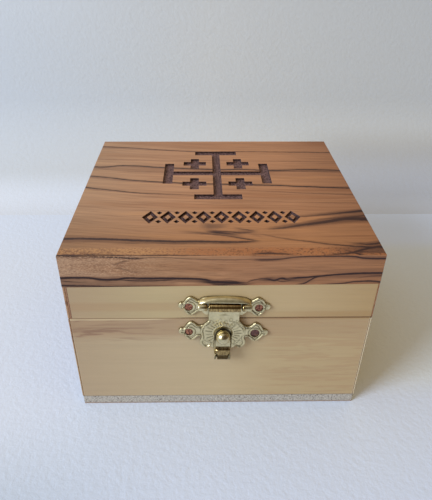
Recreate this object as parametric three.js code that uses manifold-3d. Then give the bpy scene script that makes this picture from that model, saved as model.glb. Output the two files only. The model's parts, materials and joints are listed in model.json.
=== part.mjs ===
// A small olive wood keepsake box. Four boards and a thin bottom panel make the base, and four
// shallow boards under a solid olive wood slab make the lid. Two brass butt hinges join them at
// the back. A pressed brass hasp closes the front: its leaf hangs from the lid over a ball-ended
// catch tongue on the base.
// Millimetres. X runs to the right, Y to the back and Z up. The origin is the middle of the underside.
import * as THREE from "three";
import { mergeVertices } from "three/addons/utils/BufferGeometryUtils.js";
import Module from "manifold-3d";

const wasm = await Module();
wasm.setup();

// Box sizes
const boxWidth = 100;
const boxDepth = 88;
const panelThickness = 4.3;
const panelInset = 0.2;
const boardThickness = 7;
const baseBoardHeight = 38;
const seamGap = 0.2;
const lidHeight = 25.2;
const slabThicknessLeft = 12.1;
const slabThicknessRight = 11.2;

// A corner is rebated: the front and back boards lap the ends of the side boards, all but a thin lip.
const baseLip = 0.5;
const lidLipLeft = 0.9;
const lidLipRight = 0.4;

// Engraving in the top of the slab
const engravingDepth = 0.9;
const crossCentreY = 11.6;
const crossHalfSize = 21;
const crossBarLength = 17.5;
const crossBarWidth = 3.6;
const crossStemWidth = 3.2;
const crossletOffset = 8.85;
const crossletSize = 9.1;
const crossletArmWidth = 3.3;
const bandCentreX = 0.6;
const bandCentreY = -21.7;
const bandLength = 54;
const bandCount = 9;
const lozengeWidth = 5.4;
const lozengeHeight = 8;
const lozengeIslandShare = 0.4;
const bandDotSize = 2;
const bandDotOffset = 2.8;

// Sheet metal and fits shared by the hasp and the hinges
const sheetThickness = 0.8;
const runningGap = 0.3;
const boreGap = 0.2;
const pilotGap = 0.25;
const headGap = 0.15;

// Nails
const nailHeadRadius = 1.15;
const nailHeadThickness = 0.35;
const nailShankRadius = 0.55;
const nailTipMargin = 1;
const nailPointLength = 1.2;
const nailSeatThickness = 0.3;
const nailSides = 16;

// Hasp: the plate on the lid
const haspCentreX = 1.1;
const haspPlateRise = 5.25;
const haspPlateTilt = THREE.MathUtils.degToRad(1.4);
const haspHalfWidth = 14.8;
const haspEarHalfHeight = 3.95;
const haspNailShares = [-0.776, 0.754];
const hoodHalfWidth = 8.4;
const hoodReach = 2.4;
const hoodRise = 1.6;
const hoodClearance = 0.35;
const haspPinRadius = 0.5;
const haspKnuckleWall = 0.5;
const haspPinRise = 1.3;
const leafKnuckleLength = 10.2;

// Hasp: the leaf that hangs from it
const leafThickness = 0.7;
const leafBackGap = 0.35;
const leafHalfWidth = 7.5;
const leafFootRise = 2.75;
const slotSideClearance = 0.4;
const slotTopClearance = 0.35;

// Hasp: the plate on the base, and the catch tongue that pivots on it
const catchCentreX = 1;
const catchPlateDrop = 5.6;
const catchPlateTilt = THREE.MathUtils.degToRad(1.9);
const catchHalfWidth = 14.8;
const catchEarHalfHeight = 4;
const catchNailShares = [-0.775, 0.71];
const tonguePinRadius = 0.5;
const tongueKnuckleWall = 0.5;
const tonguePivotDrop = 9;
const tongueLeafGap = 1.05;
const tongueWidth = 4.8;
const tongueNeckWidth = 3.6;
const tongueNeckLength = 1.9;
const tongueThickness = 0.7;
const tongueSetForward = 0.3;
const tongueLength = 9.7;
const tongueSideStep = 0.08;
const lugThickness = 0.6;
const ballRadius = 2.2;
const ballProud = 0.1;

// Butt hinges
const hingeEndDistance = 22;
const hingeWidth = 18;
const hingeLeafHeight = 8;
const hingePinRadius = 0.6;
const hingeKnuckleWall = 0.6;
const hingeStandOff = 0.1;
const hingeMiddleKnuckle = 5.8;
const hingeNailInset = 4;
const hingeCornerRadius = 1;

// Modelling
const cutOverrun = 1;
const mergeTolerance = 0.0001;
const curveSteps = 10;
const outlineSteps = 3;

// Heights and planes that follow from the sizes
const seamHeight = panelThickness + baseBoardHeight;
const lidBottom = seamHeight + seamGap;
const lidTop = lidBottom + lidHeight;
const hingeAxisHeight = seamHeight + seamGap / 2;
const halfWidth = boxWidth / 2;
const halfDepth = boxDepth / 2;
const nailLength = boardThickness - nailTipMargin;

// The hasp's places follow from the seam, and the leaf's reach and slot from the catch tongue.
const haspPlateHeight = lidBottom + haspPlateRise;
const haspKnuckleRadius = haspPinRadius + boreGap + haspKnuckleWall;
const haspPinStandOff = sheetThickness + haspKnuckleRadius + runningGap;
const leafPivotHeight = haspPlateHeight + haspPinRise;
const catchPlateHeight = seamHeight - catchPlateDrop;
const tonguePivotHeight = catchPlateHeight - tonguePivotDrop;
const leafFrontStandOff = sheetThickness + leafBackGap + leafThickness;
const tonguePivotStandOff = leafFrontStandOff + tongueLeafGap - tongueSetForward;
const leafDrop = leafPivotHeight - tonguePivotHeight - leafFootRise;
const ballTopHeight = tonguePivotHeight + tongueLength + ballRadius;
const slotTopDrop = leafPivotHeight - ballTopHeight - slotTopClearance;
const slotHalfWidth = Math.max(tongueWidth / 2, ballRadius) + slotSideClearance;

// Outlines, as shares of the plate's half width and the ear's half height, from top middle to bottom middle
const haspPlateShares = [
  [0, 1.06], [0.28, 1.05], [0.46, 0.95], [0.57, 0.68], [0.65, 0.86], [0.73, 1.02], [0.82, 0.84],
  [0.88, 0.5], [0.905, 0.4], [0.955, 0.4], [1, 0.2], [1, -0.04], [0.955, -0.22], [0.905, -0.22],
  [0.87, -0.45], [0.8, -0.82], [0.73, -0.92], [0.65, -0.76], [0.58, -0.5], [0.52, -0.42],
  [0.46, -0.62], [0.4, -0.82], [0.34, -0.8], [0.2, -0.66], [0, -0.66],
];
const catchPlateShares = [
  [0, 1.22], [0.25, 1.22], [0.36, 1.12], [0.44, 0.84], [0.52, 0.68], [0.6, 0.74], [0.66, 0.98],
  [0.72, 1.1], [0.81, 0.9], [0.88, 0.46], [0.91, 0.36], [0.955, 0.36], [1, 0.16], [1, -0.1],
  [0.955, -0.3], [0.91, -0.28], [0.87, -0.5], [0.8, -0.82], [0.73, -0.95], [0.65, -0.82],
  [0.57, -0.5], [0.49, -0.55], [0.42, -0.95], [0.32, -1.3], [0.22, -1.5],
];
// Outline of the hood's right side seen from the front, as shares of its half width and its rise
const hoodArchShares = [[0, 1.02], [0.35, 0.98], [0.65, 0.84], [0.85, 0.6], [0.97, 0.3], [1, 0]];
// Outline of the leaf's right side below the knuckle, as shares of its half width and its drop
const leafShares = [
  [0.67, 0.08], [0.67, 0.3], [0.72, 0.36], [0.9, 0.46], [0.99, 0.55], [1, 0.62], [0.95, 0.7],
  [0.95, 0.75], [1, 0.81], [1.01, 0.87], [0.95, 0.93], [0.82, 0.97], [0.66, 0.965], [0.56, 0.95],
  [0.48, 0.975], [0.42, 1],
];

// Materials
const finish = (color, roughness, metalness) =>
  new THREE.MeshStandardMaterial({ color, roughness, metalness, flatShading: true });
const oliveWood = finish(0xa2734f, 0.55, 0);
const paleWood = finish(0xb5a27e, 0.6, 0);
const fibreboard = finish(0xa39e97, 0.9, 0);
const brass = finish(0xb9ab78, 0.3, 1);
const nailMetal = finish(0x7c4a38, 0.5, 1);

// Directions that a flat shape is drawn in: its own x and y, and the way it is thickened
const upX = new THREE.Vector3(1, 0, 0);
const upY = new THREE.Vector3(0, 1, 0);
const upZ = new THREE.Vector3(0, 0, 1);
const facingFront = new THREE.Matrix4().makeBasis(upX, upZ, upY.clone().negate());
const facingBack = new THREE.Matrix4().makeBasis(upX.clone().negate(), upZ, upY);
const alongX = new THREE.Matrix4().makeBasis(upY, upZ, upX);

function toSolid(geometry) {
  const bare = geometry.index ? geometry.toNonIndexed() : geometry.clone();
  bare.deleteAttribute("normal");
  bare.deleteAttribute("uv");
  const merged = mergeVertices(bare, mergeTolerance);
  return new wasm.Manifold(
    new wasm.Mesh({
      numProp: 3,
      vertProperties: merged.attributes.position.array,
      triVerts: new Uint32Array(merged.index.array),
    }),
  );
}

function toGeometry(solid) {
  const mesh = solid.getMesh();
  const positions = new THREE.BufferAttribute(Float32Array.from(mesh.vertProperties), 3);
  return new THREE.BufferGeometry()
    .setAttribute("position", positions)
    .setIndex(new THREE.BufferAttribute(Uint32Array.from(mesh.triVerts), 1));
}

const joined = (solids) => solids.reduce((whole, solid) => whole.add(solid));
const without = (solid, cuts) => cuts.reduce((rest, cut) => rest.subtract(cut), solid);

function extruded(shape, depth, curveSegments = curveSteps) {
  return new THREE.ExtrudeGeometry(shape, { depth, bevelEnabled: false, curveSegments });
}

function blockSolid([x0, x1], [y0, y1], [z0, z1]) {
  const box = new THREE.BoxGeometry(x1 - x0, y1 - y0, z1 - z0);
  return toSolid(box.translate((x0 + x1) / 2, (y0 + y1) / 2, (z0 + z1) / 2));
}

// A round bar or hole along Y
function barAlongY(radius, y0, y1, x, z, sides) {
  const bar = new THREE.CylinderGeometry(radius, radius, y1 - y0, sides);
  return toSolid(bar.translate(x, (y0 + y1) / 2, z));
}

// A closed profile in the plane across X, given as [y, z] points and thickened from x0 to x1
function profileAlongX(points, x0, x1) {
  const shape = new THREE.Shape(points.map(([y, z]) => new THREE.Vector2(y, z)));
  return toSolid(extruded(shape, x1 - x0).applyMatrix4(alongX).translate(x0, 0, 0));
}

function barrelAlongX(outerRadius, innerRadius, x0, x1, y, z) {
  const shape = new THREE.Shape().absarc(y, z, outerRadius, 0, 2 * Math.PI);
  if (innerRadius > 0) {
    shape.holes.push(new THREE.Path().absarc(y, z, innerRadius, 0, 2 * Math.PI, true));
  }
  return toSolid(extruded(shape, x1 - x0).applyMatrix4(alongX).translate(x0, 0, 0));
}

// A smooth closed outline from the points of its right side, top middle to bottom middle
function mirroredOutline(rightSide, steps) {
  const curve = new THREE.SplineCurve(rightSide.map(([x, y]) => new THREE.Vector2(x, y)));
  const right = curve.getPoints(rightSide.length * steps);
  const left = right
    .filter((point) => point.x > mergeTolerance)
    .map((point) => new THREE.Vector2(-point.x, point.y))
    .reverse();
  return [...right, ...left];
}

const root = new THREE.Group();

function addPiece(name, material, solid, group = root) {
  const mesh = new THREE.Mesh(toGeometry(solid), material);
  mesh.name = name;
  group.add(mesh);
}

// The slab is a little thinner on the right, so its underside, and the frame's top, slope.
function slabUnderside(x) {
  const leftHeight = lidTop - slabThicknessLeft;
  const slope = (slabThicknessLeft - slabThicknessRight) / boxWidth;
  return leftHeight + slope * (x + halfWidth);
}

// A board drawn in plan, whose bottom and top heights can change with x
function boardSolid(plan, bottomAt, topAt) {
  const shape = new THREE.Shape(plan.map(([x, y]) => new THREE.Vector2(x, y)));
  const geometry = extruded(shape, 1);
  const position = geometry.attributes.position;
  for (let i = 0; i < position.count; i += 1) {
    const heightAt = position.getZ(i) > 0.5 ? topAt : bottomAt;
    position.setZ(i, heightAt(position.getX(i)));
  }
  return toSolid(geometry);
}

function rectanglePlan(x0, x1, y0, y1) {
  return [[x0, y0], [x1, y0], [x1, y1], [x0, y1]];
}

// side is -1 for the left board and 1 for the right one; its ends are rebated down to the lip
function sideBoardPlan(side, lip) {
  const outer = side * halfWidth;
  const rebate = side * (halfWidth - lip);
  const inner = side * (halfWidth - boardThickness);
  const shoulder = halfDepth - boardThickness;
  const plan = [
    [outer, -halfDepth], [rebate, -halfDepth], [rebate, -shoulder], [inner, -shoulder],
    [inner, shoulder], [rebate, shoulder], [rebate, halfDepth], [outer, halfDepth],
  ];
  return side < 0 ? plan : plan.reverse();
}

// Where a point of a tilted plate lies on the face of the box: right and up from the plate's centre
function onPlate(centreX, centreHeight, tilt, right, up) {
  return {
    x: centreX + right * Math.cos(tilt) + up * Math.sin(tilt),
    z: centreHeight - right * Math.sin(tilt) + up * Math.cos(tilt),
  };
}

// The nail holes lie a little off the middles of the ears.
const haspNailXs = haspNailShares.map((share) => share * haspHalfWidth);
const catchNailXs = catchNailShares.map((share) => share * catchHalfWidth);
const haspNailPlaces = haspNailXs.map((right) =>
  onPlate(haspCentreX, haspPlateHeight, haspPlateTilt, right, 0),
);
const catchNailPlaces = catchNailXs.map((right) =>
  onPlate(catchCentreX, catchPlateHeight, catchPlateTilt, right, 0),
);

// Hinge nails lie in the middle of each leaf's height, at both ends of the hinge
const hingeCentres = [-halfWidth + hingeEndDistance, halfWidth - hingeEndDistance];
const hingeNailOffsets = [-hingeWidth / 2 + hingeNailInset, hingeWidth / 2 - hingeNailInset];
const hingeKnuckleRadius = hingePinRadius + boreGap + hingeKnuckleWall;
const hingeNailRise = (hingeKnuckleRadius + hingeLeafHeight) / 2;
function hingeNailPlaces(side) {
  return hingeCentres.flatMap((centre) =>
    hingeNailOffsets.map((offset) => ({
      x: centre + offset,
      z: hingeAxisHeight + side * hingeNailRise,
    })),
  );
}

// Pilot holes for nails, from the outer face through the board
function pilotHoles(places, outerY) {
  const inward = outerY < 0 ? 1 : -1;
  const ends = [outerY - inward * cutOverrun, outerY + inward * (nailLength + pilotGap)];
  return places.map(({ x, z }) =>
    barAlongY(nailShankRadius + pilotGap, Math.min(...ends), Math.max(...ends), x, z, nailSides / 2),
  );
}

function addBase() {
  const panelHalfWidth = halfWidth - panelInset;
  const panelHalfDepth = halfDepth - panelInset;
  const panel = blockSolid(
    [-panelHalfWidth, panelHalfWidth],
    [-panelHalfDepth, panelHalfDepth],
    [0, panelThickness],
  );
  const lapHalfWidth = halfWidth - baseLip;
  const inner = halfDepth - boardThickness;
  const heights = [panelThickness, seamHeight];
  const front = blockSolid([-lapHalfWidth, lapHalfWidth], [-halfDepth, -inner], heights);
  const back = blockSolid([-lapHalfWidth, lapHalfWidth], [inner, halfDepth], heights);
  const bottomAt = () => panelThickness;
  const topAt = () => seamHeight;
  addPiece("bottom_panel", fibreboard, panel);
  addPiece("base_front_board", paleWood, without(front, pilotHoles(catchNailPlaces, -halfDepth)));
  addPiece("base_back_board", paleWood, without(back, pilotHoles(hingeNailPlaces(-1), halfDepth)));
  addPiece("base_left_board", oliveWood, boardSolid(sideBoardPlan(-1, baseLip), bottomAt, topAt));
  addPiece("base_right_board", oliveWood, boardSolid(sideBoardPlan(1, baseLip), bottomAt, topAt));
}

function addLidFrame() {
  const x0 = -halfWidth + lidLipLeft;
  const x1 = halfWidth - lidLipRight;
  const inner = halfDepth - boardThickness;
  const bottomAt = () => lidBottom;
  const front = boardSolid(rectanglePlan(x0, x1, -halfDepth, -inner), bottomAt, slabUnderside);
  const back = boardSolid(rectanglePlan(x0, x1, inner, halfDepth), bottomAt, slabUnderside);
  const left = boardSolid(sideBoardPlan(-1, lidLipLeft), bottomAt, slabUnderside);
  const right = boardSolid(sideBoardPlan(1, lidLipRight), bottomAt, slabUnderside);
  addPiece("lid_front_board", paleWood, without(front, pilotHoles(haspNailPlaces, -halfDepth)));
  addPiece("lid_back_board", paleWood, without(back, pilotHoles(hingeNailPlaces(1), halfDepth)));
  addPiece("lid_left_board", oliveWood, left);
  addPiece("lid_right_board", oliveWood, right);
}

// Each groove is an upright cutter that reaches down to the floor of the engraving.
function grooveSolid(outline) {
  const shape = new THREE.Shape(outline.map(([x, y]) => new THREE.Vector2(x, y)));
  const cutter = extruded(shape, engravingDepth + cutOverrun);
  return toSolid(cutter.translate(0, 0, lidTop - engravingDepth));
}

function bar(x, y, width, height) {
  return grooveSolid(rectanglePlan(x - width / 2, x + width / 2, y - height / 2, y + height / 2));
}

function lozenge(x, y, width, height) {
  return grooveSolid([[x - width / 2, y], [x, y - height / 2], [x + width / 2, y], [x, y + height / 2]]);
}

// A cross with a bar across each arm's end, and a small cross in each quarter
function crossCutters() {
  const barCentre = crossHalfSize - crossBarWidth / 2;
  const stemLength = 2 * barCentre;
  const y = crossCentreY;
  const cutters = [bar(0, y, crossStemWidth, stemLength), bar(0, y, stemLength, crossStemWidth)];
  for (const side of [-1, 1]) {
    cutters.push(bar(side * barCentre, y, crossBarWidth, crossBarLength));
    cutters.push(bar(0, y + side * barCentre, crossBarLength, crossBarWidth));
    for (const end of [-1, 1]) {
      const x = side * crossletOffset;
      const crossletY = y + end * crossletOffset;
      cutters.push(bar(x, crossletY, crossletSize, crossletArmWidth));
      cutters.push(bar(x, crossletY, crossletArmWidth, crossletSize));
    }
  }
  return cutters;
}

// A plain row of outlined lozenges with pairs of dots between them
function bandCutters() {
  const pitch = (bandLength - lozengeWidth) / (bandCount - 1);
  const firstX = bandCentreX - (bandLength - lozengeWidth) / 2;
  const cutters = [];
  for (let i = 0; i < bandCount; i += 1) {
    const x = firstX + i * pitch;
    const islandWidth = lozengeWidth * lozengeIslandShare;
    const islandHeight = lozengeHeight * lozengeIslandShare;
    const island = lozenge(x, bandCentreY, islandWidth, islandHeight);
    cutters.push(lozenge(x, bandCentreY, lozengeWidth, lozengeHeight).subtract(island));
    if (i > 0) {
      for (const side of [-1, 1]) {
        const y = bandCentreY + side * bandDotOffset;
        cutters.push(lozenge(x - pitch / 2, y, bandDotSize, bandDotSize));
      }
    }
  }
  return cutters;
}

function addSlab() {
  const plan = rectanglePlan(-halfWidth, halfWidth, -halfDepth, halfDepth);
  const slab = boardSolid(plan, slabUnderside, () => lidTop);
  addPiece("lid_top_slab", oliveWood, slab.subtract(joined([...crossCutters(), ...bandCutters()])));
}

// A nail with its head's underside at the origin and its point along -Y
function nailGeometry() {
  const profile = [
    [0, -nailLength],
    [nailShankRadius, -nailLength + nailPointLength],
    [nailShankRadius, 0],
    [nailHeadRadius, 0],
    [nailHeadRadius, nailHeadThickness],
    [0, nailHeadThickness],
  ];
  return new THREE.LatheGeometry(profile.map(([r, y]) => new THREE.Vector2(r, y)), nailSides);
}

// Nails seat on the thin web left at the bottom of each plate's hole; outward is -1 at the front
function addNails(name, places, outward) {
  places.forEach(({ x, z }, i) => {
    const nail = nailGeometry();
    if (outward < 0) nail.rotateX(Math.PI);
    const seat = outward * (halfDepth + nailSeatThickness);
    addPiece(`${name}_${i + 1}`, nailMetal, toSolid(nail.translate(x, seat, z)));
  });
}

// The stepped hole for a nail, in a plate whose back lies at y = 0 and which faces outward
function nailHole(x, z, outward) {
  const through = sheetThickness + cutOverrun;
  const ends = [outward * nailSeatThickness, outward * through];
  const [y0, y1] = [Math.min(...ends), Math.max(...ends)];
  const head = barAlongY(nailHeadRadius + headGap, y0, y1, x, z, nailSides);
  const shank = barAlongY(nailShankRadius + pilotGap, -through, through, x, z, nailSides);
  return head.add(shank);
}

// A plate drawn on the front of the box, its back at y = 0
function frontSheet(outline, thickness) {
  return toSolid(extruded(new THREE.Shape(outline), thickness).applyMatrix4(facingFront));
}

const haspPinLength = 2 * (hoodHalfWidth - runningGap);

// The hood is a quarter-round shell that springs from the plate over the leaf's knuckle.
const hoodFoot = haspPinRise + haspKnuckleRadius + hoodClearance;
function hoodSolid() {
  const start = sheetThickness / 2;
  const arc = (reach, rise) =>
    Array.from({ length: curveSteps + 1 }, (unused, i) => {
      const turn = (i / curveSteps) * (Math.PI / 2);
      return [-(start + reach * Math.sin(turn)), hoodFoot + rise * Math.cos(turn)];
    });
  const outer = arc(hoodReach - start, hoodRise);
  const inner = arc(hoodReach - start - sheetThickness, hoodRise - sheetThickness).reverse();
  const shell = profileAlongX([...outer, ...inner].reverse(), -hoodHalfWidth, hoodHalfWidth);
  const arch = hoodArchShares.map(([x, up]) => [x * hoodHalfWidth, hoodFoot + up * hoodRise]);
  return shell.intersect(frontSheet(mirroredOutline(arch, outlineSteps), hoodReach + cutOverrun));
}

// side is -1 or 1: the knuckle at that end of the hood, with the webs that carry it
function haspEndKnuckle(side) {
  const ends = [side * (leafKnuckleLength / 2 + runningGap), side * hoodHalfWidth];
  const [x0, x1] = [Math.min(...ends), Math.max(...ends)];
  const boreRadius = haspPinRadius + boreGap;
  const y = -haspPinStandOff;
  const wallMiddle = boreRadius + haspKnuckleWall / 2;
  const barrel = barrelAlongX(haspKnuckleRadius, boreRadius, x0, x1, y, haspPinRise);
  const top = hoodFoot + sheetThickness / 2;
  const roof = blockSolid(
    [x0, x1],
    [y - sheetThickness / 2, -sheetThickness / 2],
    [haspPinRise + wallMiddle, top],
  );
  const backWeb = blockSolid(
    [x0, x1],
    [y + wallMiddle, -sheetThickness / 2],
    [haspPinRise - haspKnuckleRadius / 2, haspPinRise + wallMiddle],
  );
  return joined([barrel, roof, backWeb]);
}

function haspPlateSolid() {
  const points = haspPlateShares.map(([x, up]) => [x * haspHalfWidth, up * haspEarHalfHeight]);
  const sheet = frontSheet(mirroredOutline(points, outlineSteps), sheetThickness);
  const whole = joined([sheet, hoodSolid(), haspEndKnuckle(-1), haspEndKnuckle(1)]);
  return without(whole, haspNailXs.map((x) => nailHole(x, 0, -1)));
}

// The leaf is drawn with its pin at the origin; the slot runs up from its lower edge over the catch.
function haspLeafSolid() {
  const archCentre = -slotTopDrop - slotHalfWidth;
  const edge = leafShares.map(([x, down]) => [x * leafHalfWidth, -down * leafDrop]);
  edge[edge.length - 1][0] = slotHalfWidth;
  const sideCurve = new THREE.SplineCurve(edge.map(([x, y]) => new THREE.Vector2(x, y)));
  const right = sideCurve.getPoints(edge.length * outlineSteps);
  for (let i = 0; i <= curveSteps; i += 1) {
    const turn = (i / curveSteps) * (Math.PI / 2);
    const x = slotHalfWidth * Math.cos(turn);
    right.push(new THREE.Vector2(x, archCentre + slotHalfWidth * Math.sin(turn)));
  }
  const left = right
    .filter((point) => point.x > mergeTolerance)
    .map((point) => new THREE.Vector2(-point.x, point.y))
    .reverse();
  const leafBack = sheetThickness + leafBackGap - haspPinStandOff;
  const sheet = frontSheet([...right, ...left], leafThickness).translate([0, -leafBack, 0]);
  const halfLength = leafKnuckleLength / 2;
  const boreRadius = haspPinRadius + boreGap;
  const barrel = barrelAlongX(haspKnuckleRadius, boreRadius, -halfLength, halfLength, 0, 0);
  const neckTop = -boreRadius + haspKnuckleWall / 4;
  const neck = blockSolid(
    [-halfLength, halfLength],
    [-leafBack - leafThickness, -leafBack],
    [-2 * haspKnuckleRadius, neckTop],
  );
  const bore = barrelAlongX(boreRadius, 0, -halfLength - cutOverrun, halfLength + cutOverrun, 0, 0);
  return joined([sheet, barrel, neck]).subtract(bore);
}

function addHasp() {
  const onLid = new THREE.Group();
  onLid.position.set(haspCentreX, -halfDepth, haspPlateHeight);
  onLid.rotation.y = haspPlateTilt;
  root.add(onLid);
  addPiece("hasp_plate", brass, haspPlateSolid(), onLid);
  const pinHalf = haspPinLength / 2;
  const pin = barrelAlongX(haspPinRadius, 0, -pinHalf, pinHalf, -haspPinStandOff, haspPinRise);
  addPiece("hasp_pin", brass, pin, onLid);
  const leaf = haspLeafSolid().translate([0, -haspPinStandOff, haspPinRise]);
  addPiece("hasp_leaf", brass, leaf, onLid);
  addNails("hasp_nail", haspNailPlaces, -1);
}

const tongueKnuckleRadius = tonguePinRadius + boreGap + tongueKnuckleWall;
const lugInner = tongueNeckWidth / 2 + runningGap;
const lugOuter = lugInner + lugThickness;

function catchPlateSolid() {
  const points = catchPlateShares.map(([x, up]) => [x * catchHalfWidth, up * catchEarHalfHeight]);
  const curve = new THREE.SplineCurve(points.map(([x, y]) => new THREE.Vector2(x, y)));
  const right = curve.getPoints(points.length * outlineSteps);
  const tabBottom = -tonguePivotDrop - tongueKnuckleRadius;
  const tabTop = points[points.length - 1][1];
  right.push(new THREE.Vector2(lugOuter, tabTop - sheetThickness));
  right.push(new THREE.Vector2(lugOuter, tabBottom));
  const left = right
    .filter((point) => point.x > mergeTolerance)
    .map((point) => new THREE.Vector2(-point.x, point.y))
    .reverse();
  const sheet = frontSheet([...right, ...left], sheetThickness);
  const whole = joined([sheet, lugSolid(-1), lugSolid(1)]);
  return without(whole, catchNailXs.map((x) => nailHole(x, 0, -1)));
}

// A lug stands out of the plate beside the tongue's knuckle and holds the end of its pin.
function lugSolid(side) {
  const ends = [side * lugInner, side * lugOuter];
  const [x0, x1] = [Math.min(...ends), Math.max(...ends)];
  const z = -tonguePivotDrop;
  const y = -tonguePivotStandOff;
  const eye = barrelAlongX(tongueKnuckleRadius, 0, x0, x1, y, z);
  const heights = [z - tongueKnuckleRadius, z + tongueKnuckleRadius];
  const web = blockSolid([x0, x1], [y, -sheetThickness / 2], heights);
  const bore = barrelAlongX(tonguePinRadius + boreGap, 0, x0 - cutOverrun, x1 + cutOverrun, y, z);
  return eye.add(web).subtract(bore);
}

// The tongue is drawn with its pivot at the origin, standing up in front of the leaf.
function tongueSolid() {
  const neck = tongueNeckWidth / 2;
  const half = tongueWidth / 2;
  const barrel = barrelAlongX(tongueKnuckleRadius, 0, -neck, neck, 0, 0);
  const shape = new THREE.Shape();
  shape.moveTo(-neck, 0);
  shape.lineTo(neck, 0);
  shape.lineTo(neck, tongueNeckLength);
  shape.lineTo(half, tongueNeckLength + half - neck);
  shape.lineTo(half, tongueLength - half / 2);
  shape.lineTo(-half, tongueLength - half / 2);
  shape.lineTo(-half, tongueNeckLength + half - neck);
  shape.lineTo(-neck, tongueNeckLength);
  const strip = toSolid(extruded(shape, tongueThickness).applyMatrix4(facingFront));
  const ball = new THREE.SphereGeometry(ballRadius, 2 * curveSteps, curveSteps);
  const ballForward = tongueSetForward + tongueThickness + ballProud;
  const ballSolid = toSolid(ball.translate(0, -ballForward, tongueLength));
  const bore = barrelAlongX(tonguePinRadius + boreGap, 0, -neck - cutOverrun, neck + cutOverrun, 0, 0);
  return joined([barrel, strip.translate([0, -tongueSetForward, 0]), ballSolid]).subtract(bore);
}

function addCatch() {
  const onBase = new THREE.Group();
  onBase.position.set(catchCentreX, -halfDepth, catchPlateHeight);
  onBase.rotation.y = catchPlateTilt;
  root.add(onBase);
  addPiece("catch_plate", brass, catchPlateSolid(), onBase);
  const pin = barrelAlongX(tonguePinRadius, 0, -lugOuter, lugOuter, -tonguePivotStandOff, -tonguePivotDrop);
  addPiece("catch_tongue_pin", brass, pin, onBase);
  // The plate was nailed a little askew, but the tongue stands upright on its loose pin.
  const onPin = new THREE.Group();
  onPin.position.set(tongueSideStep, -tonguePivotStandOff, -tonguePivotDrop);
  onPin.rotation.y = -catchPlateTilt;
  onBase.add(onPin);
  addPiece("catch_tongue", brass, tongueSolid(), onPin);
  addNails("catch_nail", catchNailPlaces, -1);
}

// A hinge leaf drawn with the pin at the origin; side is 1 for the leaf on the lid, -1 on the base
function hingeLeafSolid(side, knuckleSpans) {
  const half = hingeWidth / 2;
  const back = -hingeKnuckleRadius - hingeStandOff;
  const boreRadius = hingePinRadius + boreGap;
  const near = hingeKnuckleRadius + runningGap;
  const corner = hingeCornerRadius;
  const shape = new THREE.Shape();
  shape.moveTo(-half, side * near);
  shape.lineTo(-half, side * (hingeLeafHeight - corner));
  shape.quadraticCurveTo(-half, side * hingeLeafHeight, -half + corner, side * hingeLeafHeight);
  shape.lineTo(half - corner, side * hingeLeafHeight);
  shape.quadraticCurveTo(half, side * hingeLeafHeight, half, side * (hingeLeafHeight - corner));
  shape.lineTo(half, side * near);
  const sheet = toSolid(extruded(shape, sheetThickness, 3).applyMatrix4(facingBack));
  const pieces = [sheet.translate([0, back, 0])];
  for (const [x0, x1] of knuckleSpans) {
    pieces.push(barrelAlongX(hingeKnuckleRadius, 0, x0, x1, 0, 0));
    const reach = [side * boreRadius, side * (near + sheetThickness)];
    const heights = [Math.min(...reach), Math.max(...reach)];
    pieces.push(blockSolid([x0, x1], [back, back + sheetThickness], heights));
  }
  const bore = barrelAlongX(boreRadius, 0, -half - cutOverrun, half + cutOverrun, 0, 0);
  const holes = hingeNailOffsets.map((x) =>
    nailHole(x, side * hingeNailRise, 1).translate([0, back, 0]),
  );
  return without(joined(pieces), [bore, ...holes]);
}

function addHinges() {
  const half = hingeWidth / 2;
  const middle = hingeMiddleKnuckle / 2;
  const axisY = halfDepth + hingeStandOff + hingeKnuckleRadius;
  hingeCentres.forEach((centre, i) => {
    const name = i === 0 ? "left" : "right";
    const place = [centre, axisY, hingeAxisHeight];
    const lidLeaf = hingeLeafSolid(1, [[-middle, middle]]);
    const baseLeaf = hingeLeafSolid(-1, [[-half, -middle - runningGap], [middle + runningGap, half]]);
    const pin = barrelAlongX(hingePinRadius, 0, -half, half, 0, 0);
    addPiece(`hinge_${name}_lid_leaf`, brass, lidLeaf.translate(place));
    addPiece(`hinge_${name}_base_leaf`, brass, baseLeaf.translate(place));
    addPiece(`hinge_${name}_pin`, brass, pin.translate(place));
  });
  addNails("hinge_lid_nail", hingeNailPlaces(1), 1);
  addNails("hinge_base_nail", hingeNailPlaces(-1), 1);
}

addBase();
addLidFrame();
addSlab();
addHasp();
addCatch();
addHinges();

export default root;
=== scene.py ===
"""Looks of the olive wood keepsake box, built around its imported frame. Metres; drawings in millimetres."""
import json
import math

import bmesh
import bpy
import numpy as np
from mathutils import Matrix, Vector
from mathutils.geometry import delaunay_2d_cdt


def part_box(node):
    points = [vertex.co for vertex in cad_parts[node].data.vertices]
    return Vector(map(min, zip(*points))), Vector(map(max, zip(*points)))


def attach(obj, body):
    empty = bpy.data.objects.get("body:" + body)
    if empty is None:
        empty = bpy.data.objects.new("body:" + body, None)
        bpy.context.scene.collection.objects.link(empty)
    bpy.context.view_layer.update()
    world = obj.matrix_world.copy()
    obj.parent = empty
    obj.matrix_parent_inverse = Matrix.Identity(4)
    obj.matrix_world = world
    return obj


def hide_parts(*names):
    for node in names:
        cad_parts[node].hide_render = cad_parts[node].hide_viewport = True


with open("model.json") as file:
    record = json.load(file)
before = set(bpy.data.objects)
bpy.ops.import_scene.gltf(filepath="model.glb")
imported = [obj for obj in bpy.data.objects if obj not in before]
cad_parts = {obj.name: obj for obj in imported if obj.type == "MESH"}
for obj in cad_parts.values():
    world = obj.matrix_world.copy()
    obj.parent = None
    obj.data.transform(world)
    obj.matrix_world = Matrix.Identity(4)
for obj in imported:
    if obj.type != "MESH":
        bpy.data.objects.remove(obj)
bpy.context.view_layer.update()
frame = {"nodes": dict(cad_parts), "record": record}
nodes = frame["nodes"]
scene = bpy.context.scene

MM = 0.001

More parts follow.
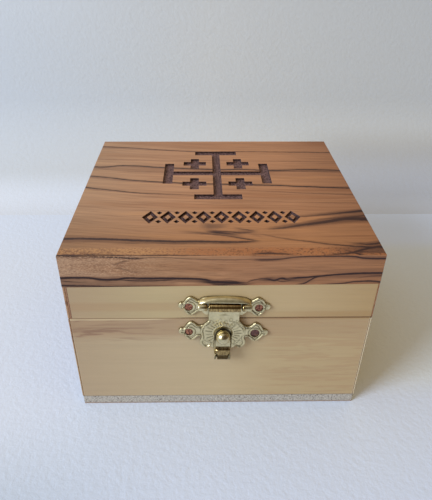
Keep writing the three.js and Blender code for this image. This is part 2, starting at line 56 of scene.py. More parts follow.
# Sizes of the CAD model that the looks refer to, in millimetres
HALF_WIDTH = 50.0
HALF_DEPTH = 44.0
LID_TOP = 67.7
SLAB_UNDERSIDE_LEFT = 55.6
SLAB_UNDERSIDE_RIGHT = 56.5
SEAM = 42.3
PANEL_TOP = 4.3


def rgb(red, green, blue):
    """A colour given as 0 to 255 in sRGB, as the linear RGBA that the nodes take."""
    def linear(value):
        value /= 255
        return value / 12.92 if value <= 0.04045 else ((value + 0.055) / 1.055) ** 2.4
    return (linear(red), linear(green), linear(blue), 1.0)


def tone(colour):
    """Three numbers are a colour for rgb. Anything else is taken as it is: linear RGBA or a node's value."""
    return rgb(*colour) if isinstance(colour, tuple) and len(colour) == 3 else colour


def grey(value):
    return (value, value, value, 1)


# Camera

def make_camera():
    place = Matrix.Translation((-0.006339, -0.162416, 0.154351))
    yaw, pitch, roll = 0.017, 0.544, 0.006
    focal_pixels, frame_side = 485.37, 500
    data = bpy.data.cameras.new("camera")
    data.sensor_width = 36
    data.lens = focal_pixels * data.sensor_width / frame_side
    data.shift_x, data.shift_y = 0.0158, -0.0738
    data.clip_start = 0.005
    camera = bpy.data.objects.new("camera", data)
    camera.matrix_world = (place @ Matrix.Rotation(-yaw, 4, "Z") @ Matrix.Rotation(math.pi / 2 - pitch, 4, "X")
                           @ Matrix.Rotation(roll, 4, "Z"))
    scene.collection.objects.link(camera)
    scene.camera = camera


# Node graphs

class Value:
    """What a node gives out. A sum or product of values is a new node's value."""

    def __init__(self, graph, socket):
        self.graph, self.socket = graph, socket

    def __add__(self, other):
        return self.graph.math("ADD", self, other)

    def __sub__(self, other):
        return self.graph.math("SUBTRACT", self, other)

    def __rsub__(self, other):
        return self.graph.math("SUBTRACT", other, self)

    def __mul__(self, other):
        return self.graph.math("MULTIPLY", self, other)

    def __truediv__(self, other):
        return self.graph.math("DIVIDE", self, other)

    def __abs__(self):
        return self.graph.math("ABSOLUTE", self)


class Graph:
    """Short calls that add nodes to a tree. What they take may be numbers or values."""

    def __init__(self, tree):
        self.tree = tree
        tree.nodes.clear()

    def put(self, socket, value):
        if isinstance(value, Value):
            self.tree.links.new(value.socket, socket)
        else:
            socket.default_value = value

    def node(self, kind, inputs, output=0, **settings):
        """A new node's output, by number or name, or a list of outputs for a tuple of them."""
        node = self.tree.nodes.new(f"ShaderNode{kind}")
        for name, setting in settings.items():
            setattr(node, name, setting)
        for key, value in inputs.items():
            self.put(node.inputs[key], value)
        if isinstance(output, tuple):
            return [Value(self, node.outputs[key]) for key in output]
        return Value(self, node.outputs[output])

    def math(self, operation, *values, clamp=False):
        return self.node("Math", dict(enumerate(values)), operation=operation, use_clamp=clamp)

    def mad(self, a, b, c):
        return self.math("MULTIPLY_ADD", a, b, c)

    def top(self, a, b):
        return self.math("MAXIMUM", a, b)

    def parts(self, vector):
        return self.node("SeparateXYZ", {0: vector}, (0, 1, 2))

    def vector(self, x, y, z):
        return self.node("CombineXYZ", {0: x, 1: y, 2: z})

    def scaled(self, vector, factor):
        """A vector or a colour times factor."""
        return self.node("VectorMath", {0: vector, "Scale": factor}, operation="SCALE")

    def step(self, value, low, high, out_low=0.0, out_high=1.0):
        """A smooth step of value between low and high."""
        return self.node("MapRange", dict(enumerate((value, low, high, out_low, out_high))),
                         interpolation_type="SMOOTHSTEP")

    def window(self, value, low, high, soft):
        """1 between low and high, falling to 0 over soft outside them."""
        return self.step(value, low - soft, low) * self.step(value, high, high + soft, 1.0, 0.0)

    def noise(self, vector, scale, detail, roughness, distortion=0.0):
        return self.node("TexNoise", {"Vector": vector, "Scale": scale, "Detail": detail,
                                      "Roughness": roughness, "Distortion": distortion})

    def group(self, tree, count, *values):
        """The first outputs of a node group."""
        return self.node("Group", dict(enumerate(values)), tuple(range(count)), node_tree=tree)

    def mix(self, share, a, b, blend="MIX"):
        return self.node("Mix", {0: share, 6: tone(a), 7: tone(b)}, 2, data_type="RGBA", blend_type=blend)

    def ramp(self, value, stops):
        """A colour for each value; stops gives some of them, from the lowest value up."""
        colour = self.node("ValToRGB", {0: value})
        marks = colour.socket.node.color_ramp.elements
        while len(marks) < len(stops):
            marks.new(0.5)
        for mark, place in zip(marks, stops):
            mark.position, mark.color = place, tone(stops[place])
        return colour

    def curves(self, places, lines, handles):
        """Three lines through (place, height) points at once; places is a vector, all runs from 0 to 1."""
        heights = self.node("RGBCurve", {"Color": places})
        mapping = heights.socket.node.mapping
        mapping.extend = "HORIZONTAL"
        for curve, points, handle in zip(mapping.curves, lines, handles):
            while len(curve.points) < len(points):
                curve.points.new(0.5, 0.5)
            for mark, place in zip(curve.points, points):
                mark.location, mark.handle_type = place, handle
        mapping.update()
        return self.node("SeparateColor", {0: heights}, (0, 1, 2))


class Look(Graph):
    """A material. Coordinates are the object's own, in millimetres; body is the colour made so far."""

    def __init__(self, name):
        self.material = bpy.data.materials.new(name)
        self.material.use_nodes = True
        super().__init__(self.material.node_tree)
        self.output = self.tree.nodes.new("ShaderNodeOutputMaterial")
        self.shader = self.tree.nodes.new("ShaderNodeBsdfPrincipled")
        self.tree.links.new(self.shader.outputs[0], self.output.inputs[0])
        place, normal = self.node("TexCoord", {}, ("Object", "Normal"))
        self.place = self.scaled(place, 1 / MM)
        self.x, self.y, self.z = self.parts(self.place)
        self.facing = self.parts(normal)
        self.body = None

    def across(self, x):
        """The place across the box, 0 to 1 from the left."""
        return self.mad(x, 1 / (2 * HALF_WIDTH), 0.5)

    def grain(self, scales, detail, roughness, distortion=0.0, y=None):
        """Noise with a scale for each axis; y may stand for the place along the second."""
        places = [place * scale for place, scale in zip((self.x, y or self.y, self.z), scales)]
        return self.noise(self.vector(*places), 1.0, detail, roughness, distortion)

    def paint(self, share, colour, blend="MIX"):
        self.body = self.mix(share, self.body, colour, blend)

    def shade(self, factor):
        self.body = self.scaled(self.body, factor)

    def stored(self, name):
        """A number that the mesh holds at each point; 0 where it holds none."""
        return self.node("Attribute", {}, "Fac", attribute_name=name)

    def bump(self, height, depth):
        """Bump whose height runs over depth millimetres."""
        bump = self.node("Bump", {"Strength": 1.0, "Distance": depth * MM, "Height": height})
        self.put(self.shader.inputs["Normal"], bump)

    def done(self, **sockets):
        """Gives the shader the body's colour and the other values, and returns the material."""
        for name, value in {"Base_Color": self.body, **sockets}.items():
            self.put(self.shader.inputs[name.replace("_", " ")], value)
        return self.material


# Grain of the olive wood. A mark is (points, half widths at its left and right, strengths at its left and
# right). It shows from its first to its last point. Points are (x, y) on the top and (x, z) on the front,
# and y or z lies within the span.
TOP_SPAN = (-46, 40)
FRONT_SPAN = (55, 69)
TOP_LINES = [
    ([(-50, 38.2), (-42.9, 37.1), (-35.7, 36.5), (-24.3, 34.4), (-10, 32.7), (18.6, 32.4), (50, 31.7)],
     (0.38, 0.34), (0.8, 0.85)),
    ([(-50, 17.6), (-45.7, 17.4), (-40, 18.6), (-34.3, 18.4), (-21.4, 16.7), (-10, 15.4), (4.3, 14.5),
      (10.7, 14.7), (21.4, 14), (28.6, 14.4), (34.3, 14.9), (50, 14)], (0.5, 0.6), (0.95, 0.95)),
    ([(-50, 17), (-41.4, 14.7), (-32.1, 13.3), (-21.4, 12.6), (0, 12), (20, 12.6), (30, 13.4), (50, 12.6)],
     (0.3, 0.4), (0.3, 0.45)),
    ([(-50, 9.4), (-45.7, 8.6), (-35.7, 6.3), (-25, 4.4), (-16.4, 3.4), (-1.4, 2.2), (11.4, 1.7),
      (25, 0.8), (39.3, -0.4), (50, -1.1)], (0.45, 0.5), (0.95, 1)),
    ([(-50, -0.3), (-45.7, -1.4), (-35.7, -3.3), (-25.7, -4.9), (-14.3, -5.8), (-8.9, -6.4), (-2, -6.9)],
     (0.45, 0.22), (1, 0.6)),
    ([(22, -22.4), (27.5, -21.7), (34.3, -20.6), (42.9, -19.2), (50, -18.1)], (0.2, 0.75), (0.4, 1)),
    ([(15, -29.3), (19, -28.8), (27.1, -26.9), (35.7, -25), (42.9, -23.2), (50, -23.4)],
     (0.4, 1.3), (0.7, 1)),
    ([(30, -24), (38, -22.9), (50, -21.2)], (0.2, 0.45), (0.3, 0.75)),
    ([(-50, -34.7), (-40, -34.9), (-30, -35.4), (-20, -35.9), (-10, -36.4), (0, -36.7), (7.1, -36.8),
      (12.5, -36.4)], (0.72, 0.5), (1.2, 0.95)),
    ([(-34, -37.2), (-20, -37), (-8, -37.4), (6, -37.5)], (0.3, 0.2), (0.5, 0.4)),
    ([(-10, -31), (-6, -31.8), (-3.6, -32.3), (2.1, -33.3), (7.1, -34.9), (13, -36.5)],
     (0.35, 0.4), (0.5, 0.9)),
    ([(-5, -30.9), (-1, -31.4), (3.6, -32.2), (6, -32.6)], (0.75, 0.4), (1, 0.7)),
    ([(-4, -30.4), (2.9, -30.9), (7.1, -31.5), (11.4, -30.6)], (0.3, 0.35), (0.75, 0.8)),
    ([(4, -28.4), (7.5, -29.3), (11.6, -30.5)], (0.2, 0.4), (0.3, 0.7)),
    ([(11, -31.4), (15, -33), (19, -34.6), (28.6, -37), (35, -38.4), (42.1, -39.4), (50, -40)],
     (0.3, 0.55), (0.4, 1.1)),
    ([(-50, -43.6), (-36, -43.5), (-30, -43.9), (-18, -43.6), (0, -44.2)], (0.4, 0.3), (1, 0.8)),
    ([(8, -43.8), (13, -43), (18, -43.2), (23, -44)], (0.5, 0.4), (0.9, 0.8)),
    ([(31, -43.9), (36, -43.4), (39.3, -42.9), (42.5, -41.6), (46, -40.2), (50, -39.4)],
     (0.4, 0.75), (0.8, 1)),
    ([(37, -40.6), (39.6, -42.4), (42, -43.6), (44, -44.4)], (0.4, 0.7), (0.6, 1)),
    ([(40, -38.4), (43, -38), (46, -38.2), (50, -37.4)], (0.4, 0.6), (0.6, 0.9)),
    ([(39, -42.6), (44, -42.4), (50, -42.6)], (0.4, 0.4), (0.7, 0.4)),
    ([(-50, 25), (-20, 23.8), (10, 23), (50, 22.4)], (0.2, 0.25), (0.2, 0.3)),
    ([(10, -2.6), (30, -4.6), (50, -6.4)], (0.2, 0.35), (0.3, 0.55)),
    ([(-10, -13.4), (20, -11.6), (50, -12.8)], (0.25, 0.3), (0.15, 0.35)),
]
TOP_SHADES = [
    ([(-50, 37.4), (-36, 35.6), (-22, 34.2), (0, 33)], (1.5, 0.6), (0.5, 0.15)),
    ([(-50, 16.4), (-38, 16.4), (-24, 15), (-4, 14)], (2.0, 0.8), (0.35, 0.2)),
    ([(-50, 8.3), (-36, 5.6), (-24, 3.8), (-6, 2.4)], (1.3, 0.6), (0.45, 0.2)),
    ([(-50, -1.2), (-36, -3.9), (-20, -6)], (1.0, 0.5), (0.15, 0.1)),
    ([(16, 13.4), (32, 13.8), (50, 12.9)], (1, 1.8), (0.2, 0.35)),
    ([(14, -29), (26, -27), (36, -24.6), (50, -22.3)], (0.8, 3.4), (0.6, 1)),
    ([(20, -22.4), (38, -19.8), (50, -18.4)], (0.8, 1.9), (0.4, 0.8)),
    ([(-7.5, -26.6), (-3, -27.6), (3.5, -27)], (2.4, 1.2), (0.9, 0.7)),
    ([(-6, -30.2), (-1, -31.4), (4, -32.4), (8, -34)], (1.4, 1.2), (1, 0.7)),
    ([(-14, -30.6), (-4, -31.8), (6, -31.2), (13, -30.2)], (0.9, 1.1), (0.5, 0.8)),
    ([(4, -29), (9, -31), (14, -34.6)], (1.6, 1.2), (0.6, 0.4)),
    ([(32, -40), (39, -41.4), (44, -41), (50, -40)], (1.0, 3.2), (0.5, 1)),
    ([(38, -36.6), (43, -37.8), (50, -37)], (0.8, 1.2), (0.5, 0.8)),
    ([(-50, -35.4), (-20, -36.5), (8, -37.2)], (1.3, 1.0), (0.6, 0.4)),
]
FRONT_LINES = [
    ([(-50, 67.6), (-39, 67.5), (-30, 67), (-26, 66.8), (-22, 67)], (0.3, 0.3), (0.9, 0.9)),
    ([(-26, 66.9), (-20, 67.2), (-10, 66.6), (0, 66.2), (12, 66.3)], (0.2, 0.2), (0.5, 0.45)),
    ([(8, 66.3), (14, 66.1), (18, 66.4), (22, 67), (26, 67.3), (36, 67.3), (40, 67.2), (43, 66.6),
      (50, 66.4)], (0.26, 0.34), (0.8, 0.95)),
    ([(-50, 59.4), (-41.4, 59.5), (-37, 58.8), (-32.9, 58.8), (-29.3, 59.3), (-25, 59), (-14.3, 59.07),
      (-8.6, 58.9), (-5.5, 58.6), (-3, 57.9), (0, 57.3)], (0.5, 0.42), (1, 1)),
    ([(-40, 58.9), (-36, 58.3), (-33, 58.6), (-30, 58.9)], (0.2, 0.2), (0.6, 0.6)),
    ([(-33, 58.7), (-28, 58.3), (-23, 58.1), (-18, 58.3), (-13, 58.9)], (0.26, 0.26), (0.95, 0.9)),
    ([(-50, 58.4), (-46, 57.9), (-41, 57.5)], (0.25, 0.2), (0.7, 0.3)),
    ([(-50, 56.5), (-46, 56.3), (-38, 56.1), (-26, 56), (-10, 55.9)], (0.42, 0.25), (0.95, 0.6)),
    ([(-8, 58.4), (-4, 57.7), (-1, 57.5), (2, 57.4), (6, 57.2), (9, 56.9)], (0.75, 0.5), (1, 1)),
    ([(-5, 57.5), (-2, 56.7), (1, 56.4), (4, 56.6)], (0.3, 0.5), (0.8, 1)),
    ([(0, 58.3), (3, 58.1), (6, 57.5), (9.6, 57.1)], (0.2, 0.2), (0.9, 0.8)),
    ([(2, 56.6), (5, 56.3), (8, 56.7), (11, 57)], (0.2, 0.2), (0.8, 0.7)),
    ([(5.4, 56.4), (7.5, 57.2), (10.5, 58.5), (14.5, 59), (18, 58.9)], (0.2, 0.24), (0.8, 0.8)),
    ([(11, 58), (14.5, 58.5), (16.5, 58.2), (18.6, 58.9), (20.6, 58.5), (23.6, 59)], (0.38, 0.42), (1, 1)),
    ([(13, 57.7), (17, 58.1), (19, 57.7), (22.4, 58.1), (25, 57.8)], (0.2, 0.24), (0.7, 0.7)),
    ([(19, 58.6), (23.6, 59), (29.7, 59.6), (36.2, 60.4), (42.7, 60.8), (50, 60.8)], (0.38, 0.44), (1, 1)),
    ([(23, 56.4), (25.3, 56.7), (27.5, 58), (29.2, 59.1), (32, 59.8)], (0.34, 0.3), (1, 1)),
    ([(30, 56.4), (34, 56.5), (38.6, 56.9), (42, 57.5), (46.4, 57.6), (50, 57.2)], (0.3, 0.36), (0.8, 0.95)),
    ([(41, 58.6), (45, 59.4), (50, 59.8)], (0.2, 0.3), (0.3, 0.6)),
    ([(-33.4, 64.3), (-31, 62.9), (-28, 61.9), (-24, 60.6)], (0.4, 0.35), (0.4, 0.3)),
    ([(-33.4, 64.1), (-31, 65.2), (-28, 66.2)], (0.4, 0.4), (0.4, 0.5)),
]
FRONT_SHADES = [
    ([(-50, 56.8), (-36, 56.9), (-12, 57.2)], (1.8, 1.2), (0.65, 0.4)),
    ([(-50, 59.2), (-20, 58.8), (0, 57.6)], (0.8, 1.0), (0.5, 0.7)),
    ([(-5, 57.6), (2, 57), (9, 57)], (1.4, 1.2), (1, 0.8)),
    ([(6, 57.2), (14, 58.4), (24, 58.4), (30, 58.6)], (0.8, 1.2), (0.4, 0.8)),
    ([(28, 58.6), (38, 59.6), (50, 60.1)], (0.9, 1.2), (0.4, 0.6)),
    ([(-29, 66.9), (-24, 66.7)], (0.7, 0.6), (0.8, 0.5)),
    ([(8, 66.2), (13, 66), (19, 66.3)], (0.6, 0.7), (0.8, 0.7)),
    ([(36, 66.9), (50, 66.6)], (0.5, 0.8), (0.4, 0.6)),
    ([(4, 61), (22, 61.4), (50, 62.4)], (1.0, 0.7), (0.2, 0.4)),
]


def grain_marks(name, marks, low, high, profiles):
    """A node group that gives the strongest of the marks at each point, once for each profile.

    Its inputs are the place across the box, 0 to 1 from the left, and the place beside the marks, which run
    between low and high. In a profile (reach, full) a mark ends at its half width times reach, and has its
    full strength within its half width times full.
    """
    tree = bpy.data.node_groups.new(name, "ShaderNodeTree")
    graph = Graph(tree)
    for label in ("across", "along"):
        tree.interface.new_socket(name=label, in_out="INPUT", socket_type="NodeSocketFloat")
    for i in range(len(profiles)):
        tree.interface.new_socket(name=f"mask {i}", in_out="OUTPUT", socket_type="NodeSocketFloat")
    inputs = tree.nodes.new("NodeGroupInput").outputs
    given_across, given_along = Value(graph, inputs[0]), Value(graph, inputs[1])
    result = tree.nodes.new("NodeGroupOutput").inputs
    # The place across takes the other input in, times 0. So the renderer works the marks out one after
    # another and holds few values at a time; a material that holds too many renders black.
    across = graph.mad(given_along, 0.0, given_across)
    places = graph.vector(across, across, across)
    span = high - low
    along = graph.mad(given_along, 1 / span, -low / span)
    widest = max(max(widths) for _, widths, _ in marks)
    unit = widest / span
    masks = [None] * len(profiles)

    def share(x):
        return (x + HALF_WIDTH) / (2 * HALF_WIDTH)

    for points, widths, strengths in marks:
        first, last = points[0][0], points[-1][0]
        soft = min(4.0, (last - first) / 3)
        middle = [(share(x), (height - low) / span) for x, height in points]
        width = [(share(x), value / widest) for x, value in zip((first, last), widths)]
        strength = [(share(first + soft), min(strengths[0], 1)), (share(last - soft), min(strengths[1], 1))]
        strength = ([(share(first), 0.0)] if first > -HALF_WIDTH else []) + strength
        strength += [(share(last), 0.0)] if last < HALF_WIDTH else []
        at, half, strong = graph.curves(places, (middle, width, strength), ("AUTO", "VECTOR", "VECTOR"))
        ratio = abs(along - at) / half
        for i, (reach, full) in enumerate(profiles):
            mask = strong * graph.step(ratio, reach * unit, full * unit)
            masks[i] = graph.top(masks[i], mask) if masks[i] else mask
    for socket, mask in zip(result, masks):
        graph.put(socket, mask)
    return tree


def olive_wood():
    look = Look("olive_wood")
    turned = abs(look.facing[2])
    # Below the slab's underside, which rises to the right, are the side boards with their grain front to back
    slab_slope = (SLAB_UNDERSIDE_RIGHT - SLAB_UNDERSIDE_LEFT) / (2 * HALF_WIDTH)
    slab_underside = (SLAB_UNDERSIDE_RIGHT + SLAB_UNDERSIDE_LEFT) / 2
    is_board = look.step(look.mad(look.x, -slab_slope, look.z), slab_underside - 0.06, slab_underside - 0.11)
    upright = look.mad(look.z, 1.3, -27) + look.step(look.x, -10, 10, 0, 9)

    def blend(outside, board):
        return look.mad(is_board, board - outside, outside)

    true_x, true_y, true_z = look.x, look.y, look.z
    look.x, look.y, look.z = blend(true_x, true_y), blend(true_y, upright), blend(true_z, true_x)
    is_top = look.step(turned, 0.6, 0.8) * (1.0 - is_board)
    is_end = look.step(abs(look.facing[0]), 0.6, 0.8) * (1.0 - is_board)
    is_back = look.step(look.facing[1], 0.6, 0.8)
    # Slow wander of the grain, and the fall of the lines from left to right
    wander = look.mad(look.grain((0.05, 0.09, 0.09), 2.0, 0.5), 1.6, -0.8)
    jitter = look.mad(look.grain((0.45, 0.9, 0.9), 4.0, 0.75), 0.8, -0.4)
    across = look.across(look.x)
    right_share = 1.0 - across
    fall = look.mad(right_share * right_share, 6.7, -0.7)
    # On the ends the lines run down through the slab, moved on by the depth below the top
    depth = LID_TOP - look.z
    slanted = look.mad(depth, 1.05, look.y)
    wavy = wander + jitter
    top_place = look.mad(is_end, slanted - look.y, look.y) + wavy
    front_across = look.mad(is_back * look.mad(look.x, -1.8, 7), 1 / (2 * HALF_WIDTH), across)
    front_place = look.mad(wavy, 0.45, look.mad(is_back, look.mad(depth, 0.18, -1.0), look.z))
    use_top = look.top(look.top(is_top, is_end), is_board)
    use_front = 1.0 - use_top

    def marks(name, top_marks, front_marks, *profiles):
        count = len(profiles)
        top_tree = grain_marks(f"{name}_top", top_marks, *TOP_SPAN, profiles)
        on_top = look.group(top_tree, count, across, top_place)
        front_tree = grain_marks(f"{name}_front", front_marks, *FRONT_SPAN, profiles)
        on_front = look.group(front_tree, count, front_across, front_place)
        return [a * use_top + b * use_front for a, b in zip(on_top, on_front)]

    lines, halos = marks("lines", TOP_LINES, FRONT_LINES, (1.2, 0.5), (3.6, 0.8))
    shades, = marks("shades", TOP_SHADES, FRONT_SHADES, (1.25, 0.45))
    # Streaks along the grain, from broad to fine
    flow = look.y - fall + wander
    broad = look.grain((0.012, 0.16, 0.2), 2.0, 0.55, y=flow)
    streaks = look.grain((0.028, 0.62, 0.8), 4.0, 0.6, 0.2, y=flow)
    fibres = look.grain((0.08, 2.4, 2.4), 3.0, 0.6, y=flow)
    warm = look.ramp(look.across(true_x), {
        0.0: (164, 130, 102), 0.3: (172, 130, 99), 0.54: (168, 122, 89), 0.76: (165, 119, 87),
        1.0: (144, 101, 73)})
    front_warm = look.ramp(front_across, {
        0.0: (163, 131, 105), 0.3: (162, 123, 91), 0.6: (156, 112, 80), 1.0: (146, 102, 70)})
    warm = look.mix(use_front, warm, front_warm)
    near = look.step(look.y, -12, -38) * look.top(is_top, is_end)
    near_tint = look.mix(across, (0.7, 0.64, 0.57, 1), (1.02, 0.98, 0.86, 1))
    warm = look.mix(near, warm, near_tint, "MULTIPLY")
    look.body = look.mix(look.step(broad, 0.3, 0.5, 0.55, 0.0), warm, (0.74, 0.64, 0.56, 1), "MULTIPLY")
    look.paint(look.step(broad, 0.52, 0.72, 0.0, 0.6), look.mix(1.0, warm, (1.2, 1.16, 1.0, 1), "MULTIPLY"))
    threads = look.grain((0.05, 2.1, 2.2), 2.0, 0.55, 0.1, y=flow)
    look.shade(look.mad(look.step(streaks, 0.3, 0.7), 0.16, 0.93))
    look.shade(look.mad(look.step(threads, 0.34, 0.66), 0.2, 0.91))
    look.shade(look.mad(fibres, 0.2, 0.9))
    thin = look.top(look.step(streaks, 0.4, 0.28) * 0.8, look.step(threads, 0.38, 0.26))
    look.paint(thin * 0.42, (112, 68, 46))
    # Rough flecks along the front edge of the top, golden at the left and orange further on
    fleck = look.grain((1.5, 2.4, 2.4), 2.0, 0.6)
    band = look.window(look.y, -43.4, -40.6, 1.6) * is_top
    tint = look.mix(look.step(look.x, -25, -5), (186, 140, 94), (164, 100, 58))
    look.paint(band * look.step(fleck, 0.46, 0.58, 0.1, 0.7), tint)
    grit_share = look.mad(look.step(look.x, -12, 4), 0.4, 0.4)
    look.paint(band * grit_share * look.step(fleck, 0.47, 0.36), (92, 48, 28))
    # Coloured wood round the lines, then the lines
    look.paint(shades * look.mad(streaks, 0.8, 0.38), (88, 60, 47))
    look.paint(halos * 0.36, (104, 66, 48))
    breakup = look.grain((0.16, 0.7, 0.7), 3.0, 0.6)
    lines = lines * look.step(breakup, 0.26, 0.46, 0.7, 1.0)
    # The side boards' narrow front ends are plain; the base's are pale, at the left only low down, and at the
    # right pale all the way up as a painted highlight where the edge catches the light
    board_end = is_board * look.step(look.facing[1], -0.6, -0.8)
    lines = lines * (1.0 - board_end)
    low = look.step(true_z, SEAM + 0.2, SEAM)
    pale = low * look.top(look.step(true_z, 38, 24), look.step(true_x, -10, 10))
    look.paint(board_end * pale * 0.85,
               look.mix(look.step(true_x, -10, 10), (178, 152, 118), (206, 194, 164)))
    ink = look.mix(use_front, (50, 31, 29), (36, 21, 24))
    look.paint(lines * 0.94, ink)
    # Open pores at the left of the front
    pore = look.grain((1.3, 1.3, 2.6), 2.0, 0.6)
    rough = look.step(look.x, -12, -34) * use_front * look.step(look.z, 59.6, 61)
    look.paint(rough * look.step(pore, 0.5, 0.66, 0.0, 0.5), (196, 160, 128))
    look.paint(rough * look.step(pore, 0.46, 0.34, 0.0, 0.4), (112, 78, 60))
    # The engraving is burnt, and its steep walls are darker still with painted shade
    inside = look.window(look.x, -48, 48, 0.5) * look.window(look.y, -42, 42, 0.5)
    sunk = look.window(true_z, 62, LID_TOP - 0.06, 0.05) * inside
    burn = look.noise(look.vector(look.x * 1.9, look.y * 3.2, look.z), 1.0, 3.0, 0.7)
    char = look.mix(look.step(burn, 0.41, 0.59), (46, 30, 32), (132, 103, 101))
    wall = look.math("SUBTRACT", 1.0, turned, clamp=True)
    char = look.mix(wall * 0.8, char, (44, 27, 24))
    look.paint(sunk, char)
    height = fibres * 0.5 + streaks * 0.5
    height = look.mad(burn * sunk, 1.5, height)
    look.bump(look.mad(fleck * band, 1.6, height), 0.05)
    rough = look.mad(sunk, 0.35, look.mad(streaks, 0.14, 0.42))
    return look.done(Roughness=rough, Specular_IOR_Level=0.25)


def pale_wood():
    look = Look("pale_wood")
    streak = look.grain((0.02, 0.5, 0.5), 4.0, 0.6, 0.4)
    fine = look.grain((0.1, 2.2, 2.2), 3.0, 0.6)
    flame = look.grain((0.05, 0.6, 0.6), 3.0, 0.55, 0.8)
    across = look.across(look.x)
    on_lid = look.step(look.z, SEAM, SEAM + 0.2)
    on_base = 1.0 - on_lid
    lid_tone = look.ramp(across, {
        0.0: (168, 145, 115), 0.3: (181, 162, 123), 0.74: (182, 159, 120), 1.0: (170, 143, 101)})
    base_tone = look.ramp(across, {
        0.0: (171, 150, 121), 0.3: (182, 163, 131), 0.5: (186, 167, 132), 0.7: (181, 160, 122),
        1.0: (178, 155, 117)})
    look.body = look.mix(on_lid, base_tone, lid_tone)
    # Heartwood tints: a band with wisps under the seam, strongest at the left, and faint ones on the lid
    under = look.window(look.z, 36.5, SEAM + 0.1, 4.5) * on_base
    band_share = look.ramp(across, {0.0: grey(0.62), 0.45: grey(0.5), 0.7: grey(0.4), 1.0: grey(0.3)})
    look.paint(under * band_share, (156, 124, 94))
    wisps = look.window(look.z, 34, 41, 3) * on_base * look.step(across, 0.45, 0.06)
    look.paint(wisps * look.step(flame, 0.5, 0.64, 0.0, 0.6), (126, 92, 74))
    lid_band = look.window(look.z, 46.6, 48.4, 1.8) * look.step(across, 0.5, 0.3)
    look.paint(lid_band * 0.35, (160, 126, 92))
    lid_foot = look.window(look.z, 42.4, 44.6, 1.2) * look.step(across, 0.5, 0.85)
    look.paint(lid_foot * 0.45, (158, 124, 80))
    pink = look.step(across, 0.58, 0.72) * on_base * look.step(flame, 0.45, 0.6, 0.0, 0.35)
    look.paint(pink, (164, 130, 98))
    look.shade(look.mad(streak, 0.16, 0.92) * look.mad(fine, 0.1, 0.95))
    # Brown lip at the left end of the lid's front, with a dark inner line
    look.paint(look.step(look.x, -48.5, -48.75) * on_lid * 0.8, (150, 102, 74))
    inner = look.window(look.x, -48.72, -48.55, 0.12) * on_lid
    look.paint(inner * look.step(fine, 0.35, 0.6, 0.3, 0.9), (98, 64, 48))
    # Pale edge at the right end of the base's front, a painted highlight where the edge catches the light
    look.paint(look.step(look.x, 49.0, 49.35) * on_base * 0.75, (208, 196, 166))
    # Pale arris of the base at the left of the seam, a painted highlight, and a dark line of painted shade in
    # the gap along the seam further right
    arris = look.window(look.z, SEAM - 0.5, SEAM - 0.2, 0.15) * look.step(look.x, -16, -22)
    look.paint(arris * 0.6, (208, 192, 156))
    seam = look.window(look.z, SEAM - 0.12, SEAM + 0.42, 0.14) * look.step(look.x, -18, -9, 0.2, 0.9)
    look.paint(seam * look.step(look.facing[1], -0.6, -0.8), (84, 54, 32))
    look.bump(streak * 0.3 + fine * 0.7, 0.03)
    return look.done(Roughness=look.mad(streak, 0.12, 0.45), Specular_IOR_Level=0.4)


def fibreboard():
    look = Look("fibreboard")
    grit = look.noise(look.place, 1.6, 4.0, 0.7)
    specks = look.node("TexVoronoi", {"Vector": look.place, "Scale": 1.1})
    look.body = look.ramp(grit, {0.3: (112, 103, 96), 0.5: (174, 170, 162), 0.7: (206, 200, 190)})
    look.paint(look.step(specks, 0.28, 0.1), (88, 76, 70))
    # A dark line along the top edge, painted shade under the board above
    look.paint(look.step(look.z, PANEL_TOP - 0.55, PANEL_TOP - 0.1, 0.0, 0.7), (98, 82, 68))
    look.paint(look.step(look.z, 0.9, 0.3) * look.step(grit, 0.4, 0.6, 0.3, 0.8), (138, 104, 88))
    look.bump(grit, 0.2)
    return look.done(Roughness=0.9)


def brass():
    """Satin brass. Points that hold polish_and_shade are glossier and painted a darker gold as a painted dark
    reflection; points that hold dirt_and_shade are painted dark, as patina in grooves and as painted shade.
    """
    look = Look("brass")
    polish_and_shade, dirt_and_shade = look.stored("polish_and_shade"), look.stored("dirt_and_shade")
    cloud = look.noise(look.place, 0.5, 3.0, 0.6)
    brushed = look.grain((2.4, 0.8, 0.5), 3.0, 0.6)
    bent = look.node("NewGeometry", {}, "Pointiness")
    look.body = look.mix(look.step(cloud, 0.35, 0.65), (214, 200, 156), (230, 216, 172))
    gold = look.mix(look.step(brushed, 0.35, 0.65), (144, 119, 77), (196, 168, 112))
    look.paint(look.step(polish_and_shade, 0.5, 1.0), gold)
    look.paint(look.step(bent, 0.49, 0.45, 0.0, 0.7), (84, 62, 36))
    look.paint(dirt_and_shade * 0.9, (66, 50, 28))
    # Painted shade where other surfaces within this reach close a point in
    reach = 0.9 * MM
    light = look.node("AmbientOcclusion", {"Distance": reach}, "AO", samples=8)
    look.paint(look.step(light, 0.75, 0.2), (44, 30, 18))
    rough = look.mad(polish_and_shade, -0.22, look.mad(brushed, 0.16, 0.28))
    look.bump(brushed, 0.02)
    return look.done(Metallic=1.0, Roughness=look.mad(dirt_and_shade, 0.2, rough))


def nail_metal():
    look = Look("nail_metal")
    fine = look.noise(look.place, 1.5, 3.0, 0.65)
    look.body = look.mix(look.step(fine, 0.38, 0.62), (92, 52, 42), (186, 124, 96))
    # The nail at the lower right of the hasp is the darkest
    dark = look.step(look.x, 2, 6) * look.step(look.z, 40, 37)
    look.paint(dark * 0.75, (88, 66, 66))
    look.bump(fine, 0.06)
    return look.done(Metallic=0.7, Roughness=look.mad(fine, 0.3, 0.32))


LOOKS = {make.__name__: make() for make in (olive_wood, pale_wood, fibreboard, brass, nail_metal)}
SLOTS = {row["node"]: row["material_slot"] for row in frame["record"]["subparts"]}
WOOD_BEVEL = 0.35
OTHER_BEVEL = 0.08


